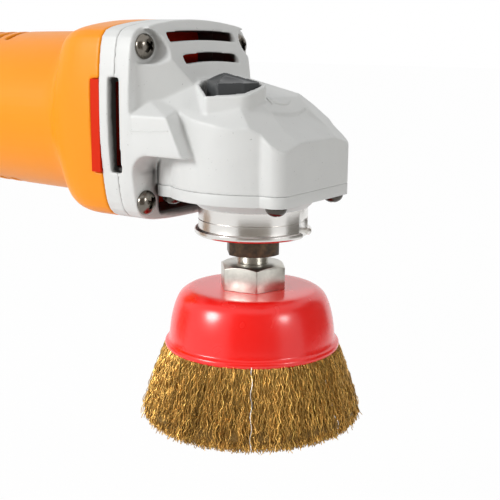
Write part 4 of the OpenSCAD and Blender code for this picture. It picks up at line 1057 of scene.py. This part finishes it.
def wire_tree():
    """Geometry nodes: crimped wires that flare from a ring of roots to a wider ring of tips."""
    sizes = ("Facing", "Spread", "Root radius", "Root band", "Root height", "Tip radius", "Tip band",
             "Tip height", "Lift", "Crimp", "Thickness")
    t, given = new_tree("crimped_wires", {"Count": "Int", "Seed": "Int",
                                          **dict.fromkeys(sizes, "Float"), "Material": "Material"})
    bends, shortest, fade_in = 22, 0.10, 0.12
    stray_reach, lean_reach = 2.2 * MM, 9.0 * MM
    line = t.node("GeometryNodeCurvePrimitiveLine", sockets={"Start": (0, 0, 0), "End": (0, 0, 1)})
    line = t.node("GeometryNodeResampleCurve", sockets={"Curve": line, "Count": bends})
    points = t.node("GeometryNodePoints", sockets={"Count": given["Count"]})
    wires = t.node("GeometryNodeInstanceOnPoints", sockets={"Points": points, "Instance": line})
    traits = (("angle", -0.5, 0.5), ("band", 0.0, 1.0), ("tone", 0.0, 1.0), ("phase", 0.0, 2 * math.pi),
              ("stray", -1.0, 1.0), ("short", 0.0, 1.0), ("lean", -1.0, 1.0), ("waves", 12.0, 19.0))
    for step, (name, low, high) in enumerate(traits):
        wires = t.node("GeometryNodeStoreNamedAttribute", {"data_type": "FLOAT", "domain": "INSTANCE"},
                       {"Geometry": wires, "Name": name,
                        "Value": chance(t, low, high, given["Seed"] + step)})
    wires = t.node("GeometryNodeRealizeInstances", sockets={"Geometry": wires})

    def kept(name):
        return t.node("GeometryNodeInputNamedAttribute", {"data_type": "FLOAT"}, {"Name": name})

    along = t.node("GeometryNodeSplineParameter", output="Factor")
    band, phase = kept("band"), kept("phase")
    reach = along * (1.0 - shortest * kept("short") ** 2.0)
    flare = reach ** 0.85
    root = given["Root radius"] - given["Root band"] * band
    tip = given["Tip radius"] - given["Tip band"] * band + stray_reach * kept("stray") ** 7.0
    swing = reach * (kept("waves") * (2 * math.pi)) + phase
    wobble = swing * 1.37 + phase
    crimp = given["Crimp"] * along.over(0.0, fade_in)
    radius = root + (tip - root) * flare + crimp * wobble.math("COSINE", wobble)
    lift = given["Lift"] * (1.0 - band) ** 1.5
    height = given["Root height"] + (given["Tip height"] + lift - given["Root height"]) * reach
    angle = given["Facing"] + given["Spread"] * kept("angle")
    lean = lean_reach * kept("lean") ** 3.0 * along ** 1.3
    turn = angle + (crimp * swing.math("SINE", swing) + lean) / radius
    position = t.node("ShaderNodeCombineXYZ", sockets={
        "X": radius * turn.math("COSINE", turn), "Y": radius * turn.math("SINE", turn), "Z": height})
    wires = t.node("GeometryNodeSetPosition", sockets={"Geometry": wires, "Position": position})
    section = t.node("GeometryNodeCurvePrimitiveCircle",
                     sockets={"Resolution": 3, "Radius": given["Thickness"] * 0.5})
    wires = t.node("GeometryNodeCurveToMesh",
                   sockets={"Curve": wires, "Profile Curve": section, "Fill Caps": True})
    return end_tree(t, wires, given["Material"])


def shrink_core(core, depth):
    """Draws the packing in behind the outer wires, and up from their tips."""
    hollow, lift, over = 20 * MM, 2.5 * MM, 8 * MM
    for v in core.data.vertices:
        radius = math.hypot(v.co.x, v.co.y)
        if radius > hollow:
            shrink = (radius - depth) / radius
            v.co.x *= shrink
            v.co.y *= shrink
    low = min(v.co.z for v in core.data.vertices)
    for v in core.data.vertices:
        v.co.z += lift * max(0.0, 1 - (v.co.z - low) / over)


# ---------------------------------------------------------------- stage


def place_camera(scene, stage):
    """The camera looks past the spindle towards the motor, a little from above."""
    aside, pitch, roll = (math.radians(a) for a in (0.1626, 11.9813, 0.5240))
    yaw = stage.azimuth + aside
    ahead = Vector((-math.sin(yaw) * math.cos(pitch), math.cos(yaw) * math.cos(pitch), -math.sin(pitch)))
    side = Vector((math.cos(yaw), math.sin(yaw), 0))
    up = side.cross(ahead)
    right = side * math.cos(roll) + up * math.sin(roll)
    top = up * math.cos(roll) - side * math.sin(roll)
    place = Vector((math.sin(stage.azimuth) * stage.distance,
                    -math.cos(stage.azimuth) * stage.distance, stage.height))
    camera = bpy.data.objects.new("camera", bpy.data.cameras.new("camera"))
    camera.data.sensor_width, camera.data.lens = 36, stage.lens
    camera.data.clip_start, camera.data.clip_end = 0.01, 20
    columns = (right, top, -ahead, place)
    camera.matrix_world = Matrix([[c[i] for c in columns] for i in range(3)] + [[0, 0, 0, 1]])
    scene.collection.objects.link(camera)
    scene.camera = camera


def direction(azimuth, elevation):
    """Unit vector from the grinder towards a place of the studio, angles in degrees."""
    a, e = math.radians(azimuth), math.radians(elevation)
    return Vector((math.sin(a) * math.cos(e), -math.cos(a) * math.cos(e), math.sin(e)))


def softbox(name, azimuth, elevation, power, size, distance=0.85):
    """A round softbox that faces the origin; its angles are in degrees."""
    lamp = bpy.data.lights.new(name, "AREA")
    lamp.shape, lamp.size, lamp.energy = "DISK", size, power
    box = add_object(name, lamp)
    box.location = direction(azimuth, elevation) * distance
    box.rotation_euler = (-box.location).to_track_quat("-Z", "Y").to_euler()


def add_card(name, azimuths, distance, heights, colour):
    """A matt card that stands round a part of the studio, for the metal to reflect."""
    panels = 12
    bm = bmesh.new()
    columns = []
    for k in range(panels + 1):
        azimuth = azimuths[0] + (azimuths[1] - azimuths[0]) * k / panels
        foot = direction(azimuth, 0) * distance
        columns.append([bm.verts.new((foot.x, foot.y, z)) for z in heights])
    for left, right in zip(columns, columns[1:]):
        bm.faces.new((left[0], right[0], right[1], left[1]))
    card = object_of(bm, name)
    card.visible_camera = False
    card.data.materials.append(Finish(name, colour, 0.9).material)


def seen_directly(t):
    """1 on rays that show the background itself: from the camera, a reflection or through glass."""
    rays = t.node("ShaderNodeLightPath").socket.node
    seen = [Wired(t, rays.outputs[n]) for n in ("Is Camera Ray", "Is Glossy Ray", "Is Transmission Ray")]
    return (seen[0] + seen[1] + seen[2]).over(0.0, 1.0)


def light_sky(scene, level):
    """Soft light of that level from all round, before a background that looks white."""
    world = bpy.data.worlds.new("studio")
    world.use_nodes = True
    scene.world = world
    t = Tree(world.node_tree)
    world.node_tree.nodes.clear()
    strength = level + (1.0 - level) * seen_directly(t)
    sky = t.node("ShaderNodeBackground", sockets={"Color": (1, 1, 1, 1), "Strength": strength})
    t.node("ShaderNodeOutputWorld", sockets={"Surface": sky})


def add_floor(height):
    """A wide sheet of pale paper that looks white and keeps a trace of the shadow."""
    bm = bmesh.new()
    bmesh.ops.create_grid(bm, x_segments=1, y_segments=1, size=6.0)
    for v in bm.verts:
        v.co.z = height
    floor = object_of(bm, "floor")
    f = Finish("floor_paper", (0.93, 0.93, 0.93), 0.9)
    glow = f.node("ShaderNodeEmission", sockets={"Color": (1, 1, 1, 1), "Strength": 1.0})
    paper = Wired(f, f.shader.outputs[0])
    both = f.node("ShaderNodeMixShader", sockets={0: seen_directly(f) * 0.975, 1: paper, 2: glow})
    output = next(n for n in f.tree.nodes if n.bl_idname == "ShaderNodeOutputMaterial")
    f.feed(output.inputs["Surface"], both)
    floor.data.materials.append(f.material)


# ---------------------------------------------------------------- add-on


class GRINDER_PT_panel(bpy.types.Panel):
    """Lists the grinder's settings and operators"""

    bl_idname = "GRINDER_PT_panel"
    bl_label = "Angle grinder"
    bl_space_type = "VIEW_3D"
    bl_region_type = "UI"
    bl_category = "Grinder"

    def draw(self, context):
        for group in GROUPS:
            box = self.layout.box()
            settings = getattr(context.scene, group)
            for name in settings.bl_rna.properties.keys():
                if name not in ("rna_type", "name"):
                    box.prop(settings, name)
        for operator in OPERATORS:
            self.layout.operator(operator.bl_idname)


GROUPS = {"grinder_brush": GrinderBrush, "grinder_casting": GrinderCasting,
          "grinder_colours": GrinderColours, "grinder_stage": GrinderStage}
OPERATORS = (GRINDER_OT_castings, GRINDER_OT_housing, GRINDER_OT_fasteners, GRINDER_OT_lock,
             GRINDER_OT_spindle, GRINDER_OT_cup, GRINDER_OT_wires, GRINDER_OT_inner, GRINDER_OT_stage)


def register():
    """Registers the settings, the operators and the panel."""
    for group in GROUPS.values():
        bpy.utils.register_class(group)
    for name, group in GROUPS.items():
        setattr(bpy.types.Scene, name, bpy.props.PointerProperty(type=group))
    for shown in (*OPERATORS, GRINDER_PT_panel):
        bpy.utils.register_class(shown)


def unregister():
    """Takes back what register() did."""
    for shown in (GRINDER_PT_panel, *reversed(OPERATORS)):
        bpy.utils.unregister_class(shown)
    for name, group in GROUPS.items():
        delattr(bpy.types.Scene, name)
        bpy.utils.unregister_class(group)


def main():
    """Registers the add-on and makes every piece."""
    register()
    bpy.ops.grinder.castings()
    bpy.ops.grinder.housing()
    bpy.ops.grinder.fasteners()
    bpy.ops.grinder.lock()
    bpy.ops.grinder.spindle()
    bpy.ops.grinder.cup()
    bpy.ops.grinder.wires()
    bpy.ops.grinder.inner()
    bpy.ops.grinder.stage()


if __name__ == "__main__":
    main()
